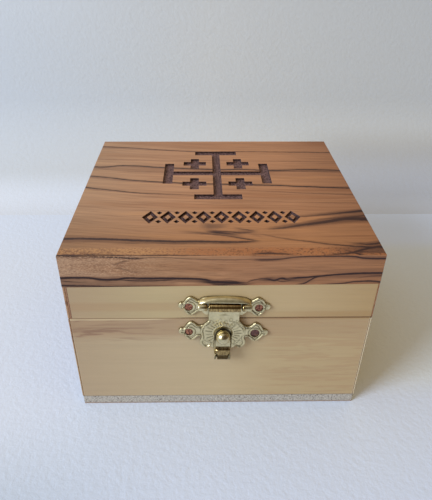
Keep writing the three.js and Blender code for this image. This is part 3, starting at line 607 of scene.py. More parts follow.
def dress_nodes():
    """Gives every CAD node its look and softened edges."""
    for name, obj in nodes.items():
        weld = obj.modifiers.new("weld", "WELD")
        weld.merge_threshold = 1e-6
        flat = obj.modifiers.new("flat", "DECIMATE")
        flat.decimate_type = "DISSOLVE"
        flat.angle_limit = math.radians(1)
        bevel = obj.modifiers.new("bevel", "BEVEL")
        bevel.width = (WOOD_BEVEL if SLOTS[name] in ("olive_wood", "pale_wood") else OTHER_BEVEL) * MM
        bevel.segments = 2
        bevel.limit_method = "ANGLE"
        bevel.angle_limit = math.radians(40)
        if not obj.material_slots:
            obj.data.materials.append(None)
        for slot in obj.material_slots:
            slot.link = "OBJECT"
            slot.material = LOOKS[SLOTS[name]]


# Pressed metal. Drawings have x to the right, w out of the box's face and u up, in millimetres.

SHEET = 0.8
SHEET_ROUNDING = 0.22
RIM_INSET = 0.42
GROOVE_INSET = 0.86
PLATE_CENTRE = (1.1, 47.75)
PLATE_TILT = math.radians(1.4)
PLATE_HALF_WIDTH = 14.8
PLATE_EAR = 3.95
PLATE_NAILS = (-0.776 * PLATE_HALF_WIDTH, 0.754 * PLATE_HALF_WIDTH)
PIN_RISE = 1.3
PIN_OUT = 2.3
PIN_RADIUS = 0.5
BORE_RADIUS = 0.7
KNUCKLE_RADIUS = 1.2
ROLL_RADIUS = 1.38
HOOD_HALF_WIDTH = 8.4
HOOD_REACH = 2.25
HOOD_FOOT = 3.25
HOOD_RISE = 1.2
LEAF_KNUCKLE = 10.2
LEAF_HALF_WIDTH = 7.5
LEAF_DROP = 18.6
LEAF_BACK = 1.15
LEAF_THICKNESS = 0.7
SLOT_HALF_WIDTH = 2.8
SLOT_TOP = 9.1
CATCH_CENTRE = (1.0, 36.7)
CATCH_TILT = math.radians(1.9)
CATCH_HALF_WIDTH = 14.8
CATCH_EAR = 4.0
CATCH_NAILS = (-0.775 * CATCH_HALF_WIDTH, 0.71 * CATCH_HALF_WIDTH)
TONGUE_PIVOT = (0.7816, 27.7023)
TONGUE_DROP = 9.0
BALL_RADIUS = 2.35
BALL_OUT = 0.95
BALL_RISE = 9.65
LUG_SPAN = (2.1, 2.7)
LUG_OUT = 2.6
HEAD_SEAT = 0.3
NAIL_SHANK = 0.55
NAIL_HOLE = 0.8
NAIL_DEPTH = 6
HINGE_PLACES = {"left": -28.0, "right": 28.0}
HINGE_AXIS = (45.5, 42.4)
HINGE_HALF_WIDTH = 9.0
HINGE_HEIGHT = 8.0
HINGE_CORNER = 1.0
HINGE_KNUCKLE_RADIUS = 1.4
HINGE_BORE_RADIUS = 0.8
HINGE_PIN_RADIUS = 0.6
HINGE_STAND = 0.1
HINGE_NAILS = (-5, 5)

# Right sides of the outlines, as shares of the half width and of the height
PLATE_SHARES = [
    (0, 1.06), (0.28, 1.05), (0.46, 0.95), (0.57, 0.68), (0.65, 0.86), (0.73, 1.02), (0.82, 0.84),
    (0.88, 0.5), (0.905, 0.4), (0.955, 0.4), (1, 0.2), (1, -0.04), (0.955, -0.22), (0.905, -0.22),
    (0.87, -0.45), (0.8, -0.82), (0.73, -0.92), (0.65, -0.76), (0.58, -0.5), (0.52, -0.42),
    (0.46, -0.62), (0.4, -0.82), (0.34, -0.8), (0.2, -0.66), (0, -0.66),
]
CATCH_SHARES = [
    (0, 1.22), (0.25, 1.22), (0.36, 1.12), (0.44, 0.84), (0.52, 0.68), (0.6, 0.74), (0.66, 0.98),
    (0.72, 1.1), (0.81, 0.9), (0.88, 0.46), (0.91, 0.36), (0.955, 0.36), (1, 0.16), (1, -0.1),
    (0.955, -0.3), (0.91, -0.28), (0.87, -0.5), (0.8, -0.82), (0.73, -0.95), (0.65, -0.82),
    (0.57, -0.5), (0.49, -0.55), (0.42, -0.95), (0.32, -1.3), (0.22, -1.5),
]
HOOD_SHARES = [(0, 1.02), (0.3, 0.97), (0.55, 0.8), (0.75, 0.5), (0.9, 0.1), (1, -0.5)]
LEAF_SHARES = [
    (0.67, 0.08), (0.67, 0.3), (0.72, 0.36), (0.9, 0.46), (0.99, 0.55), (1, 0.62), (0.95, 0.7),
    (0.95, 0.75), (1, 0.81), (1.01, 0.87), (0.95, 0.93), (0.82, 0.97), (0.66, 0.965), (0.56, 0.95),
    (0.48, 0.975), (0.42, 1),
]


def smooth_line(points, count):
    """count + 1 points on a smooth line through the given ones."""
    marks = np.array(points, float)
    spans = len(marks) - 1
    line = []
    for i in range(count + 1):
        at = i / count * spans
        k = min(int(at), spans - 1)
        t = at - k
        before, start, end, after = (marks[min(max(j, 0), spans)] for j in (k - 1, k, k + 1, k + 2))
        a, b = (end - before) / 2, (after - start) / 2
        cubic, square = 2 * start - 2 * end + a + b, -3 * start + 3 * end - 2 * a - b
        line.append(cubic * t**3 + square * t**2 + a * t + start)
    return np.array(line)


def mirrored(right):
    """A closed outline from the points of its right side."""
    right = np.asarray(right, float)
    left = right[right[:, 0] > 1e-4][::-1] * (-1, 1)
    return np.concatenate([right, left])


def is_inside(points, loop):
    x, y = points[:, 0][:, None], points[:, 1][:, None]
    a, b = loop, np.roll(loop, -1, 0)
    crosses = (a[:, 1] > y) != (b[:, 1] > y)
    rise = np.where(b[:, 1] == a[:, 1], 1e-12, b[:, 1] - a[:, 1])
    hits = crosses & (x < a[:, 0] + (y - a[:, 1]) * (b[:, 0] - a[:, 0]) / rise)
    return hits.sum(1) % 2 == 1


def edge_distance(points, loop):
    """The distance of each point from a closed outline."""
    a, b = loop, np.roll(loop, -1, 0)
    along = b - a
    share = ((points[:, None] - a) * along).sum(-1) / np.maximum((along**2).sum(-1), 1e-12)
    nearest = a + np.clip(share, 0, 1)[..., None] * along
    return np.sqrt(((points[:, None] - nearest) ** 2).sum(-1)).min(1)


def hump(value, centre, half):
    """A smooth bump of height 1 at centre that ends half away from it."""
    t = np.clip(1 - np.abs(value - centre) / half, 0, 1)
    return t * t * (3 - 2 * t)


def rise(value, low, high):
    t = np.clip((value - low) / (high - low), 0, 1)
    return t * t * (3 - 2 * t)


def relief_sheet(outline, thickness, relief, spacing=0.2):
    """A closed sheet whose front carries a relief: relief(points, distance) gives its height and its dirt."""
    inward = np.roll(outline, -1, 0) - np.roll(outline, 1, 0)
    inward = np.stack([-inward[:, 1], inward[:, 0]], 1)
    inward /= np.linalg.norm(inward, axis=1)[:, None]
    if not is_inside(outline + inward * 0.01, outline).mean() > 0.5:
        inward = -inward
    points = [outline]
    for turn in (25, 45, 67, 90):
        inset = SHEET_ROUNDING * (1 - math.cos(math.radians(turn)))
        ring = outline + inward * inset
        keep = is_inside(ring, outline) & (edge_distance(ring, outline) > 0.93 * inset)
        points.append(ring[keep])
    low, high = outline.min(0), outline.max(0)
    columns = np.arange(low[0] + spacing / 3, high[0], spacing)
    rows = np.arange(low[1] + spacing / 3, high[1], spacing)
    grid = np.array([(x + (j % 2) * spacing / 2, y) for j, y in enumerate(rows) for x in columns])
    grid = grid[is_inside(grid, outline)]
    points.append(grid[edge_distance(grid, outline) > SHEET_ROUNDING + spacing * 0.45])
    points = np.concatenate(points)
    rim = len(outline)
    edges = [(i, (i + 1) % rim) for i in range(rim)]
    flat, _, faces, _, _, _ = delaunay_2d_cdt([Vector(p) for p in points], edges, [], 0, 1e-7)
    flat, faces = np.array([tuple(p) for p in flat]), np.array(faces)
    faces = faces[is_inside(flat[faces].mean(1), outline)]
    distance = edge_distance(flat, outline)
    t = np.clip(1 - distance / SHEET_ROUNDING, 0, 1)
    height = thickness + relief(flat, distance)[0] - SHEET_ROUNDING * (1 - np.sqrt(1 - t * t))
    front = np.stack([flat[:, 0], height, flat[:, 1]], 1)
    back = np.stack([flat[:, 0], np.zeros(len(flat)), flat[:, 1]], 1)
    count = len(flat)
    a, b, c = flat[faces[:, 0]], flat[faces[:, 1]], flat[faces[:, 2]]
    turned = (b[:, 0] - a[:, 0]) * (c[:, 1] - a[:, 1]) - (b[:, 1] - a[:, 1]) * (c[:, 0] - a[:, 0]) < 0
    faces[turned] = faces[turned][:, ::-1]
    sides = np.concatenate([faces[:, [0, 1]], faces[:, [1, 2]], faces[:, [2, 0]]])
    used = dict.fromkeys(map(tuple, sides.tolist()))
    walls = [(i, i + count, j + count, j) for i, j in used if (j, i) not in used]
    shell = [tuple(map(int, f)) for f in faces] + [tuple(map(int, f[::-1] + count)) for f in faces] + walls
    return np.concatenate([front, back]), shell


def lathe_x(profile, centre=(0, 0), sides=40):
    """A bar round an axis along x. profile is a line of (x, radius) points from axis to axis."""
    vertices, faces, rings = [], [], []
    for x, r in profile:
        steps = sides if r > 1e-6 else 1
        rings.append([len(vertices) + k for k in range(steps)])
        for k in range(steps):
            turn = 2 * math.pi * k / sides
            vertices.append((x, centre[0] + r * math.cos(turn), centre[1] + r * math.sin(turn)))
    for a, b in zip(rings, rings[1:]):
        for k in range(sides):
            corners = [a[k % len(a)], a[(k + 1) % len(a)], b[(k + 1) % len(b)], b[k % len(b)]]
            corners = tuple(dict.fromkeys(corners))
            if len(corners) > 2:
                faces.append(corners)
    return np.array(vertices), faces


def barrel(x0, x1, radius, centre=(0, 0), rim=0.12):
    """A knuckle along x with rounded rims."""
    left = []
    for turn in (90, 67.5, 45, 22.5, 0):
        t = math.radians(turn)
        left.append((x0 + rim * (1 - math.sin(t)), radius - rim * (1 - math.cos(t))))
    right = [(x0 + x1 - x, r) for x, r in reversed(left)]
    return lathe_x([(x0, 0), *left, *right, (x1, 0)], centre)


def block(x0, x1, w0, w1, u0, u1):
    vertices = np.array([(x, w, u) for x in (x0, x1) for w in (w0, w1) for u in (u0, u1)], float)
    faces = [(0, 1, 3, 2), (4, 6, 7, 5), (0, 4, 5, 1), (2, 3, 7, 6), (0, 2, 6, 4), (1, 5, 7, 3)]
    return vertices, faces


def loft(rows):
    """A closed body from equal closed rows of points, with both ends filled."""
    rows = [np.asarray(row, float) for row in rows]
    count = len(rows[0])
    faces = []
    for i in range(len(rows) - 1):
        for k in range(count):
            n = (k + 1) % count
            faces.append((i * count + k, i * count + n, (i + 1) * count + n, (i + 1) * count + k))
    faces.append(tuple(range(count))[::-1])
    faces.append(tuple((len(rows) - 1) * count + k for k in range(count)))
    return np.concatenate(rows), faces


def ball(centre, radius, sides=56):
    profile = [(radius * -math.cos(t), radius * math.sin(t)) for t in np.linspace(0, math.pi, sides // 2 + 1)]
    profile[0], profile[-1] = (-radius, 0), (radius, 0)
    vertices, faces = lathe_x(profile, sides=sides)
    return vertices + np.array(centre), faces


def as_object(name, part):
    vertices, faces = part
    mesh = bpy.data.meshes.new(name)
    mesh.from_pydata([tuple(v * MM) for v in np.asarray(vertices)], [], faces)
    work = bmesh.new()
    work.from_mesh(mesh)
    bmesh.ops.recalc_face_normals(work, faces=work.faces)
    bmesh.ops.triangulate(work, faces=[f for f in work.faces if len(f.verts) > 4])
    work.to_mesh(mesh)
    work.free()
    obj = bpy.data.objects.new(name, mesh)
    scene.collection.objects.link(obj)
    return obj


def combined(name, parts, cuts):
    """One closed body from closed parts, less the cuts."""
    whole = as_object(name, parts[0])
    for operation, tools in (("UNION", parts[1:]), ("DIFFERENCE", cuts)):
        for part in tools:
            tool = as_object(f"{name}_tool", part)
            modifier = whole.modifiers.new("join", "BOOLEAN")
            modifier.operation = operation
            modifier.solver = "MANIFOLD"
            modifier.object = tool
            depsgraph = bpy.context.evaluated_depsgraph_get()
            made = bpy.data.meshes.new_from_object(whole.evaluated_get(depsgraph))
            whole.modifiers.clear()
            old = whole.data
            whole.data = made
            bpy.data.meshes.remove(old)
            bpy.data.objects.remove(tool)
    whole.data.name = name
    return whole


def mount(obj, centre, tilt, out=0.0):
    """Puts a drawing on the front of the box, its origin at centre and turned clockwise by tilt."""
    cos, sin = math.cos(tilt), math.sin(tilt)
    place = Matrix((
        (cos, 0, sin, centre[0] * MM),
        (0, -1, 0, (-HALF_DEPTH - out) * MM),
        (-sin, 0, cos, centre[1] * MM),
        (0, 0, 0, 1),
    ))
    obj.data.transform(place)
    obj.data.flip_normals()


def dress(obj, body, slot, *replaced, angle=35):
    """Sharpens only the real edges, gives the look, hangs the piece on its body and hides the CAD parts that it
    replaces.
    """
    mesh = obj.data
    mesh.polygons.foreach_set("use_smooth", [True] * len(mesh.polygons))
    mesh.set_sharp_from_angle(angle=math.radians(angle))
    mesh.materials.clear()
    mesh.materials.append(LOOKS[slot])
    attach(obj, body)
    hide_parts(*replaced)


def nail_cut(x, radius=1.3, tall=1.0):
    """The stepped hole that a nail's head sits in."""
    profile = [(-1, 0), (-1, NAIL_HOLE), (HEAD_SEAT, NAIL_HOLE), (HEAD_SEAT, radius), (3, radius), (3, 0)]
    vertices, faces = lathe_x(profile, sides=48)
    return np.stack([vertices[:, 1] + x, vertices[:, 0], vertices[:, 2] * tall], 1), faces


def ear_relief(nail_xs, from_x):
    """A raised rim, rings round the nails and a dot at each ear's tip. The plate is plain up to from_x."""
    def relief(points, distance):
        on_ear = rise(np.abs(points[:, 0]), from_x, from_x + 1.2)
        height = 0.16 * hump(distance, RIM_INSET, 0.28) - 0.16 * hump(distance, GROOVE_INSET, 0.26)
        dirt_and_shade = 0.85 * hump(distance, GROOVE_INSET, 0.24)
        ring, ring_groove = 1.75, 2.25
        for x in nail_xs:
            radius = np.hypot(points[:, 0] - x, points[:, 1])
            height += (0.14 * hump(radius, ring, 0.4) - 0.12 * hump(radius, ring_groove, 0.28)) * on_ear
            dirt_and_shade = np.maximum(dirt_and_shade, 0.7 * hump(radius, ring_groove, 0.22))
        tip = np.hypot(np.abs(points[:, 0]) - 13.9, points[:, 1] - 0.2)
        height = height * on_ear + 0.12 * hump(tip, 0, 0.8)
        return height, dirt_and_shade * on_ear * rise(tip, 0.3, 0.6)
    return relief


def finish_metal(obj, *darkenings, polished_and_shaded=None):
    """Stores at each point the metal's dirt_and_shade and polish_and_shade, while the piece lies in its drawing.

    A darkening takes points and gives how dark they are: some darkenings are patina in grooves, others painted
    shade; the strongest counts. polished_and_shaded gives the polish, with its painted darker gold, in the same
    way.
    """
    mesh = obj.data
    points = np.empty(len(mesh.vertices) * 3, np.float32)
    mesh.vertices.foreach_get("co", points)
    points = points.reshape(-1, 3).astype(float) / MM
    dirt_and_shade = np.maximum.reduce([darkening(points) for darkening in darkenings])
    polish_and_shade = polished_and_shaded(points) if polished_and_shaded else np.zeros(len(points))
    for name, values in (("dirt_and_shade", dirt_and_shade), ("polish_and_shade", polish_and_shade)):
        mesh.attributes.new(name, "FLOAT", "POINT").data.foreach_set("value", values.astype(np.float32))


def relief_stain(outline, relief, low, high):
    """The patina of a relief in its grooves, where w is between low and high."""
    def darkening(points):
        flat = points[:, [0, 2]]
        return relief(flat, edge_distance(flat, outline))[1] * ((points[:, 1] > low) & (points[:, 1] < high))
    return darkening


def side_painted_shade(outline, back=0.0, below=math.inf):
    """Painted shade on a sheet's sides where u is below a height, most next to the sheet's back."""
    def darkening(points):
        near_back = rise(back - points[:, 1], -0.75, -0.3)
        near_side = rise(-edge_distance(points[:, [0, 2]], outline), -0.4, -0.15)
        return 0.95 * near_back * near_side * (points[:, 2] < below)
    return darkening


def hood():
    """The arched cover over the leaf's knuckle, with a rolled lower rim."""
    back, wall = 0.3, 0.6
    arch = smooth_line(HOOD_SHARES, 24)
    right_x, right_up = arch[:, 0] * HOOD_HALF_WIDTH, arch[:, 1]
    xs = np.concatenate([-right_x[::-1], right_x[1:]])
    ups = np.concatenate([right_up[::-1], right_up[1:]])
    rows = []
    for x, up in zip(xs, ups):
        end = rise(abs(x), HOOD_HALF_WIDTH - 2.4, HOOD_HALF_WIDTH)
        reach = HOOD_REACH * (1 - 0.1 * end)
        foot = HOOD_FOOT - 0.75 * end
        crown = max(HOOD_FOOT + HOOD_RISE * up - foot, 0.12)
        outer, inner = [], []
        for t in np.linspace(0, 1, 9):
            turn = t * math.pi / 2
            sin, cos = math.sin(turn), math.cos(turn)
            outer.append((x, back + (reach - back) * sin + 0.14 * hump(t, 1.0, 0.3), foot + crown * cos))
            inner.append((x, back + (reach - back - wall) * sin, foot + max(crown - wall, 0.02) * cos))
        lip = [(x, reach + 0.1, foot - 0.2), (x, reach - 0.3, foot - 0.28), (x, reach - 0.58, foot - 0.16)]
        rows.append(outer + lip + inner[::-1])
    return loft(rows)


def knuckle_polish_and_shade(points, radius, out=0.0, up=0.0):
    """1 on the outer part of a knuckle whose axis runs along x, where it is glossier and painted a darker gold
    as a painted dark reflection.
    """
    gap = np.hypot(points[:, 1] - out, points[:, 2] - up)
    return np.where((gap < radius + 0.02) & (points[:, 1] > out - 0.8), 1.0, 0.0)


def hasp_plate():
    outline = mirrored(smooth_line(PLATE_SHARES, 260) * (PLATE_HALF_WIDTH, PLATE_EAR))
    relief = ear_relief(PLATE_NAILS, 7.6)
    parts = [relief_sheet(outline, SHEET, relief), hood()]
    axis = (PIN_OUT, PIN_RISE)
    for side in (-1, 1):
        x0, x1 = sorted((side * (LEAF_KNUCKLE / 2 + 0.42), side * (HOOD_HALF_WIDTH + 0.15)))
        parts.append(barrel(x0, x1, KNUCKLE_RADIUS, axis, 0.4))
        parts.append(block(x0 + 0.3, x1 - 0.3, 0.4, PIN_OUT - 0.9, PIN_RISE - 0.7, PIN_RISE + 0.9))
        parts.append(block(x0 + 0.3, x1 - 0.3, 0.4, PIN_OUT + 0.1, PIN_RISE + 0.9, HOOD_FOOT - 0.6))
    bore = barrel(-HOOD_HALF_WIDTH + 0.2, HOOD_HALF_WIDTH - 0.2, BORE_RADIUS, axis, 0.02)
    obj = combined("hasp_upper", parts, [bore] + [nail_cut(x, 1.36, 1.14) for x in PLATE_NAILS])

    def polished_and_shaded(at):
        return knuckle_polish_and_shade(at, KNUCKLE_RADIUS, *axis) * rise(-np.abs(at[:, 0]), -7.3, -6.7)

    finish_metal(obj, relief_stain(outline, relief, 0.55, 1.2), side_painted_shade(outline), polished_and_shaded=polished_and_shaded)
    mount(obj, PLATE_CENTRE, PLATE_TILT)
    dress(obj, "lid", "brass", "hasp_plate", angle=60)


def leaf_relief(points, distance):
    """Petals round the ball, scrolls at both lower corners and a few soft dents in the neck."""
    x, up = points[:, 0], points[:, 1]
    from_ball = up + SLOT_TOP + SLOT_HALF_WIDTH - 0.3
    radius = np.hypot(x, from_ball)
    turn = np.arctan2(from_ball, x)
    # The rim is raised round the outside and fades out along the slot
    rim = rise(-up, 5.2, 6.4) * rise(np.abs(x) + 4 * rise(up, -9.6, -9.0), 3.8, 4.5)
    height = 0.14 * hump(distance, RIM_INSET, 0.28) * rim - 0.1 * hump(distance, GROOVE_INSET, 0.24) * rim
    darkenings = [0.5 * hump(distance, GROOVE_INSET, 0.22) * rim * (0.7 + 0.5 * np.sin(up * 1.7 + x))]
    # Petals reach further at both sides than above the ball
    reach = 5.0 + 1.5 * np.cos(turn) ** 2 + 0.3 * np.sin(turn * 7 + 1)
    petal = np.abs(np.mod(turn * 25 / (2 * math.pi) + 0.2 * np.sin(turn * 3), 1) - 0.5)
    ray = hump(petal, 0.5, 0.26) * rise(radius, 3.3, 3.8) * rise(-radius, -reach, -reach + 0.9)
    height -= 0.2 * ray
    beside = rise(np.abs(np.cos(turn)), 0.25, 0.8)
    uneven = 1 + 0.5 * np.sin(turn * 11) + 0.4 * np.sin(turn * 5 + 2)
    darkenings.append((0.1 + 0.28 * beside) * uneven * ray)
    height += 0.2 * hump(radius, 3.2 + 0.15 * np.abs(np.sin(turn * 9)), 0.34)
    arc = hump(radius, reach + 0.35, 0.26) * rise(np.abs(x), 1.0, 2.5)
    height -= 0.12 * arc
    darkenings.append(0.35 * arc)
    for side in (-1, 1):
        swirl = np.hypot(x - side * 5.5, up + 16.2)
        around = np.arctan2(up + 16.2, side * (x - side * 5.5))
        spiral = 0.5 + 0.26 * np.mod(around + 1.2, 2 * math.pi) / 1.4
        height += 0.18 * hump(swirl, spiral, 0.3)
        darkenings.append(0.5 * hump(swirl, spiral + 0.42, 0.2) * rise(-swirl, -2.2, -1.9))
        bud = np.hypot(x - side * 4.4, (up + 6.9) * 1.3)
        height += 0.16 * hump(bud, 0.75, 0.34)
        darkenings.append(0.5 * hump(bud, 1.15, 0.2))
        curl = np.hypot(x - side * 5.9, up + 9.6)
        open_side = rise(side * (x - side * 5.9) + (up + 9.6), -0.8, 0.2)
        height += 0.15 * hump(curl, 0.9, 0.3) * open_side
        darkenings.append(0.5 * hump(curl, 1.25, 0.2) * open_side)
    # Small leaves above the ball
    for spot_x, spot_up in ((-2.6, -7.2), (-1.2, -6.1), (0.7, -6.6), (2.3, -5.7), (3.2, -7.4)):
        spot = np.hypot((x - spot_x) * 1.4, up - spot_up)
        height += 0.12 * hump(spot, 0.3, 0.3)
        darkenings.append(0.45 * hump(spot, 0.75, 0.2))
    dents = np.sin(x * 2.1 + 1.3 * np.sin(up * 1.7)) * np.sin(up * 1.9 + np.sin(x * 1.3))
    height += 0.05 * dents * rise(up, -9, -7) * rise(distance, 0.3, 0.8)
    fold = hump(np.hypot(x / 2.6, (up + 3.6 + 0.06 * x * x) / 0.42), 0, 1)
    height -= 0.1 * fold
    darkenings.append(0.5 * fold)
    return height, np.maximum.reduce(darkenings)


def hasp_leaf():
    edge = np.array(LEAF_SHARES) * (LEAF_HALF_WIDTH, -LEAF_DROP)
    edge[-1][0] = SLOT_HALF_WIDTH
    right = [tuple(point) for point in smooth_line(edge, 150)]
    centre = -SLOT_TOP - SLOT_HALF_WIDTH
    straight = np.linspace(right[-1][1], centre, 24)[1:-1]
    right += [(SLOT_HALF_WIDTH, y) for y in straight]
    right += [(SLOT_HALF_WIDTH * math.cos(turn), centre + SLOT_HALF_WIDTH * math.sin(turn))
              for turn in np.linspace(0, math.pi / 2, 18)]
    top = [(x, right[0][1]) for x in np.linspace(0.3, right[0][0] - 0.3, 16)]
    outline = mirrored(top + right)
    back = LEAF_BACK - PIN_OUT
    front = back + LEAF_THICKNESS
    vertices, faces = relief_sheet(outline, LEAF_THICKNESS, leaf_relief)
    half = LEAF_KNUCKLE / 2
    parts = [(vertices + (0, back, 0), faces), barrel(-half, half, ROLL_RADIUS),
             block(-half + 0.08, half - 0.08, back + 0.02, front, -2.2, -0.3)]
    bore = barrel(-half - 1, half + 1, BORE_RADIUS, rim=0.02)
    obj = combined("hasp_flap", parts, [bore])
    finish_metal(obj, relief_stain(outline, leaf_relief, front - 0.3, front + 0.45),
                 side_painted_shade(outline, back, -2.5), polished_and_shaded=lambda at: knuckle_polish_and_shade(at, ROLL_RADIUS))
    obj.data.transform(Matrix.Translation((0, PIN_OUT * MM, PIN_RISE * MM)))
    mount(obj, PLATE_CENTRE, PLATE_TILT)
    dress(obj, "leaf", "brass", "hasp_leaf", angle=60)


def catch_plate():
    edge = np.array(CATCH_SHARES) * (CATCH_HALF_WIDTH, CATCH_EAR)
    right = [tuple(point) for point in smooth_line(edge, 260)]
    bottom = -TONGUE_DROP - KNUCKLE_RADIUS
    lug = LUG_SPAN[1]
    right += [(lug, u) for u in np.linspace(right[-1][1] - SHEET, bottom, 14)]
    right += [(x, bottom) for x in np.linspace(lug, 0, 10)[1:]]
    outline, relief = mirrored(right), ear_relief(CATCH_NAILS, 6.6)
    parts = [relief_sheet(outline, SHEET, relief)]
    axis = (LUG_OUT, -TONGUE_DROP)
    low, high = bottom + 0.05, KNUCKLE_RADIUS - TONGUE_DROP - 0.05
    for side in (-1, 1):
        x0, x1 = sorted(side * x for x in LUG_SPAN)
        parts.append(barrel(x0, x1, KNUCKLE_RADIUS, axis, 0.14))
        parts.append(block(x0 + 0.03, x1 - 0.03, 0.4, LUG_OUT, low, high))
    cuts = [barrel(-4, 4, BORE_RADIUS, axis, 0.02)]
    cuts += [nail_cut(x, size, 1.12) for x, size in zip(CATCH_NAILS, (1.36, 1.55))]
    obj = combined("catch_base", parts, cuts)

    def painted_shade_behind_leaf(at):
        """Painted shade on the plate where it shows through the leaf's slot."""
        from_slot = np.hypot((at[:, 0] - 0.15) / 2.85, (at[:, 2] + 2.25) / 4.0)
        return rise(-from_slot, -1.1, -0.97) * (at[:, 1] < 1.2)

    # Painted shade on the lugs' knuckles, out front and low down
    def painted_shade_on_lugs(at):
        return 0.7 * (at[:, 1] > 1.6) * (at[:, 2] < 1 - TONGUE_DROP)

    finish_metal(obj, relief_stain(outline, relief, 0.55, 1.2), side_painted_shade(outline), painted_shade_behind_leaf, painted_shade_on_lugs)
    mount(obj, CATCH_CENTRE, CATCH_TILT)
    dress(obj, "base", "brass", "catch_plate", angle=60)


def tongue_painted_shade(points):
    """Painted shade and dark reflections: a dark knuckle, dark grooves across the strip, dark fields beside its
    ridge and a ring round the ball.
    """
    x, up = points[:, 0], points[:, 2]
    dirt_and_shade = 0.12 + 0.8 * rise(-up, -1.5, -1.2) + 0.85 * hump(up, 2.5, 0.3) + 0.65 * hump(up, 4.15, 0.22)
    fields = hump(x, -1.1, 1.2) + 0.7 * hump(x, 1.5, 0.8)
    dirt_and_shade += 0.95 * fields * hump(up, 4.95, 0.75) + 0.45 * hump(up, 5.75, 0.2)
    ball_edge = np.hypot(x, up - BALL_RISE)
    dirt_and_shade += 0.7 * hump(ball_edge, BALL_RADIUS + 0.12, 0.24) * (points[:, 1] < 1.6)
    return np.clip(dirt_and_shade, 0, 1) * np.where(up > BALL_RISE - 1.5, 0.6, 1)


def catch_tongue():
    neck, half, back = 1.8, 2.4, 0.3
    rows = []
    for u in np.linspace(0, 8.6, 70):
        width = neck + (half - neck) * rise(u, 1.75, 2.4)
        wave = 0.16 * hump(u, 1.7, 0.5) + 0.34 * (rise(u, 2.4, 2.7) - rise(u, 3.8, 4.1))
        wave += 0.16 * hump(u, 4.6, 0.35) + 0.16 * hump(u, 5.2, 0.3) + 0.3 * rise(u, 5.5, 5.7)
        front = 1.0 + wave
        right = [(0, front + 0.05), (width / 2, front + 0.03), (width - 0.12, front), (width, front - 0.14),
                 (width, back + 0.08), (width - 0.1, back), (0, back)]
        rows.append([(x, w, u) for x, w in mirrored(right)])
    parts = [barrel(-neck, neck, KNUCKLE_RADIUS, rim=0.1), loft(rows),
             ball((0, BALL_OUT, BALL_RISE), BALL_RADIUS)]
    obj = combined("catch_strip", parts, [barrel(-4, 4, BORE_RADIUS, rim=0.02)])

    def polished_and_shaded(at):
        """Low on the strip the metal is glossy and painted a darker gold as a painted dark reflection; the top
        of the strip is pale like the leaf round it, and the ball is glossier.
        """
        return np.where(at[:, 2] > 7.7, 0.55, np.where(at[:, 2] > 5.6, 0, 0.95))

    finish_metal(obj, tongue_painted_shade, polished_and_shaded=polished_and_shaded)
    mount(obj, TONGUE_PIVOT, 0, LUG_OUT)
    dress(obj, "tongue", "brass", "catch_tongue")


def nail(name, node, body, outward, size=1.15, tall=1.0):
    """A nail with a slightly domed head, on the axis of the CAD one."""
    low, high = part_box(node)
    x, z = (low[0] + high[0]) / 2 / MM, (low[2] + high[2]) / 2 / MM
    seat = HALF_DEPTH + HEAD_SEAT
    profile = [(-NAIL_DEPTH, 0), (1.2 - NAIL_DEPTH, NAIL_SHANK), (0, NAIL_SHANK), (0, size - 0.05), (0.05, size),
               (0.24, size), (0.31, size - 0.06), (0.36, size - 0.25), (0.42, size * 0.5), (0.44, 0)]
    vertices, faces = lathe_x(profile)
    vertices[:, 2] *= np.where(vertices[:, 0] >= 0, tall, 1)
    turned = np.stack([vertices[:, 1] + x, outward * (seat + vertices[:, 0]), vertices[:, 2] + z], 1)
    obj = as_object(name, (turned, faces))
    dress(obj, body, "nail_metal", node)


def pin(name, node, body, radius, tilt=0.0):
    """A pin with rounded ends, lying where the CAD one does."""
    low, high = map(Vector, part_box(node))
    half = ((high - low).x / 2 / MM - radius * math.sin(tilt)) / math.cos(tilt)
    obj = as_object(name, barrel(-half, half, radius, rim=0.15))
    obj.data.transform(Matrix.Translation((low + high) / 2) @ Matrix.Rotation(tilt, 4, "Y"))
    dress(obj, body, "brass", node)


def hinge_leaf(name, node, body, side, centre_x, spans):
    """One leaf of a butt hinge, drawn with x to the left seen from behind, w out of the back and u up."""
    half, height, corner = HINGE_HALF_WIDTH, HINGE_HEIGHT, HINGE_CORNER
    near = HINGE_KNUCKLE_RADIUS + 0.3
    right = [(x, near) for x in np.linspace(0, half, 24)[:-1]]
    right += [(half, u) for u in np.linspace(near, height - corner, 20)[:-1]]
    right += [(half - corner + corner * math.cos(t), height - corner + corner * math.sin(t))
              for t in np.linspace(0, math.pi / 2, 9)]
    right += [(x, height) for x in np.linspace(half - corner, 0, 20)[1:]]
    outline = mirrored(right) * (1, side)
    back = -HINGE_KNUCKLE_RADIUS - HINGE_STAND
    nail_u = side * (HINGE_KNUCKLE_RADIUS + height) / 2

    def relief(points, distance):
        """A ring round each nail."""
        gaps = [np.hypot(points[:, 0] - x, points[:, 1] - nail_u) for x in HINGE_NAILS]
        return sum(0.08 * hump(gap, 1.55, 0.35) for gap in gaps), None

    vertices, faces = relief_sheet(outline, SHEET, relief, 0.5)
    parts = [(vertices + (0, back, 0), faces)]
    for x0, x1 in spans:
        parts.append(barrel(x0, x1, HINGE_KNUCKLE_RADIUS))
        ends = sorted((side * HINGE_BORE_RADIUS, side * (near + SHEET)))
        parts.append(block(x0 + 0.05, x1 - 0.05, back + 0.01, back + SHEET - 0.01, *ends))
    cuts = [barrel(-half - 1, half + 1, HINGE_BORE_RADIUS, rim=0.02)]
    for x in HINGE_NAILS:
        hole, hole_faces = nail_cut(x)
        cuts.append((hole + (0, back, nail_u), hole_faces))
    obj = combined(name, parts, cuts)
    obj.data.transform(Matrix.Translation([value * MM for value in (centre_x, *HINGE_AXIS)]))
    dress(obj, body, "brass", node)


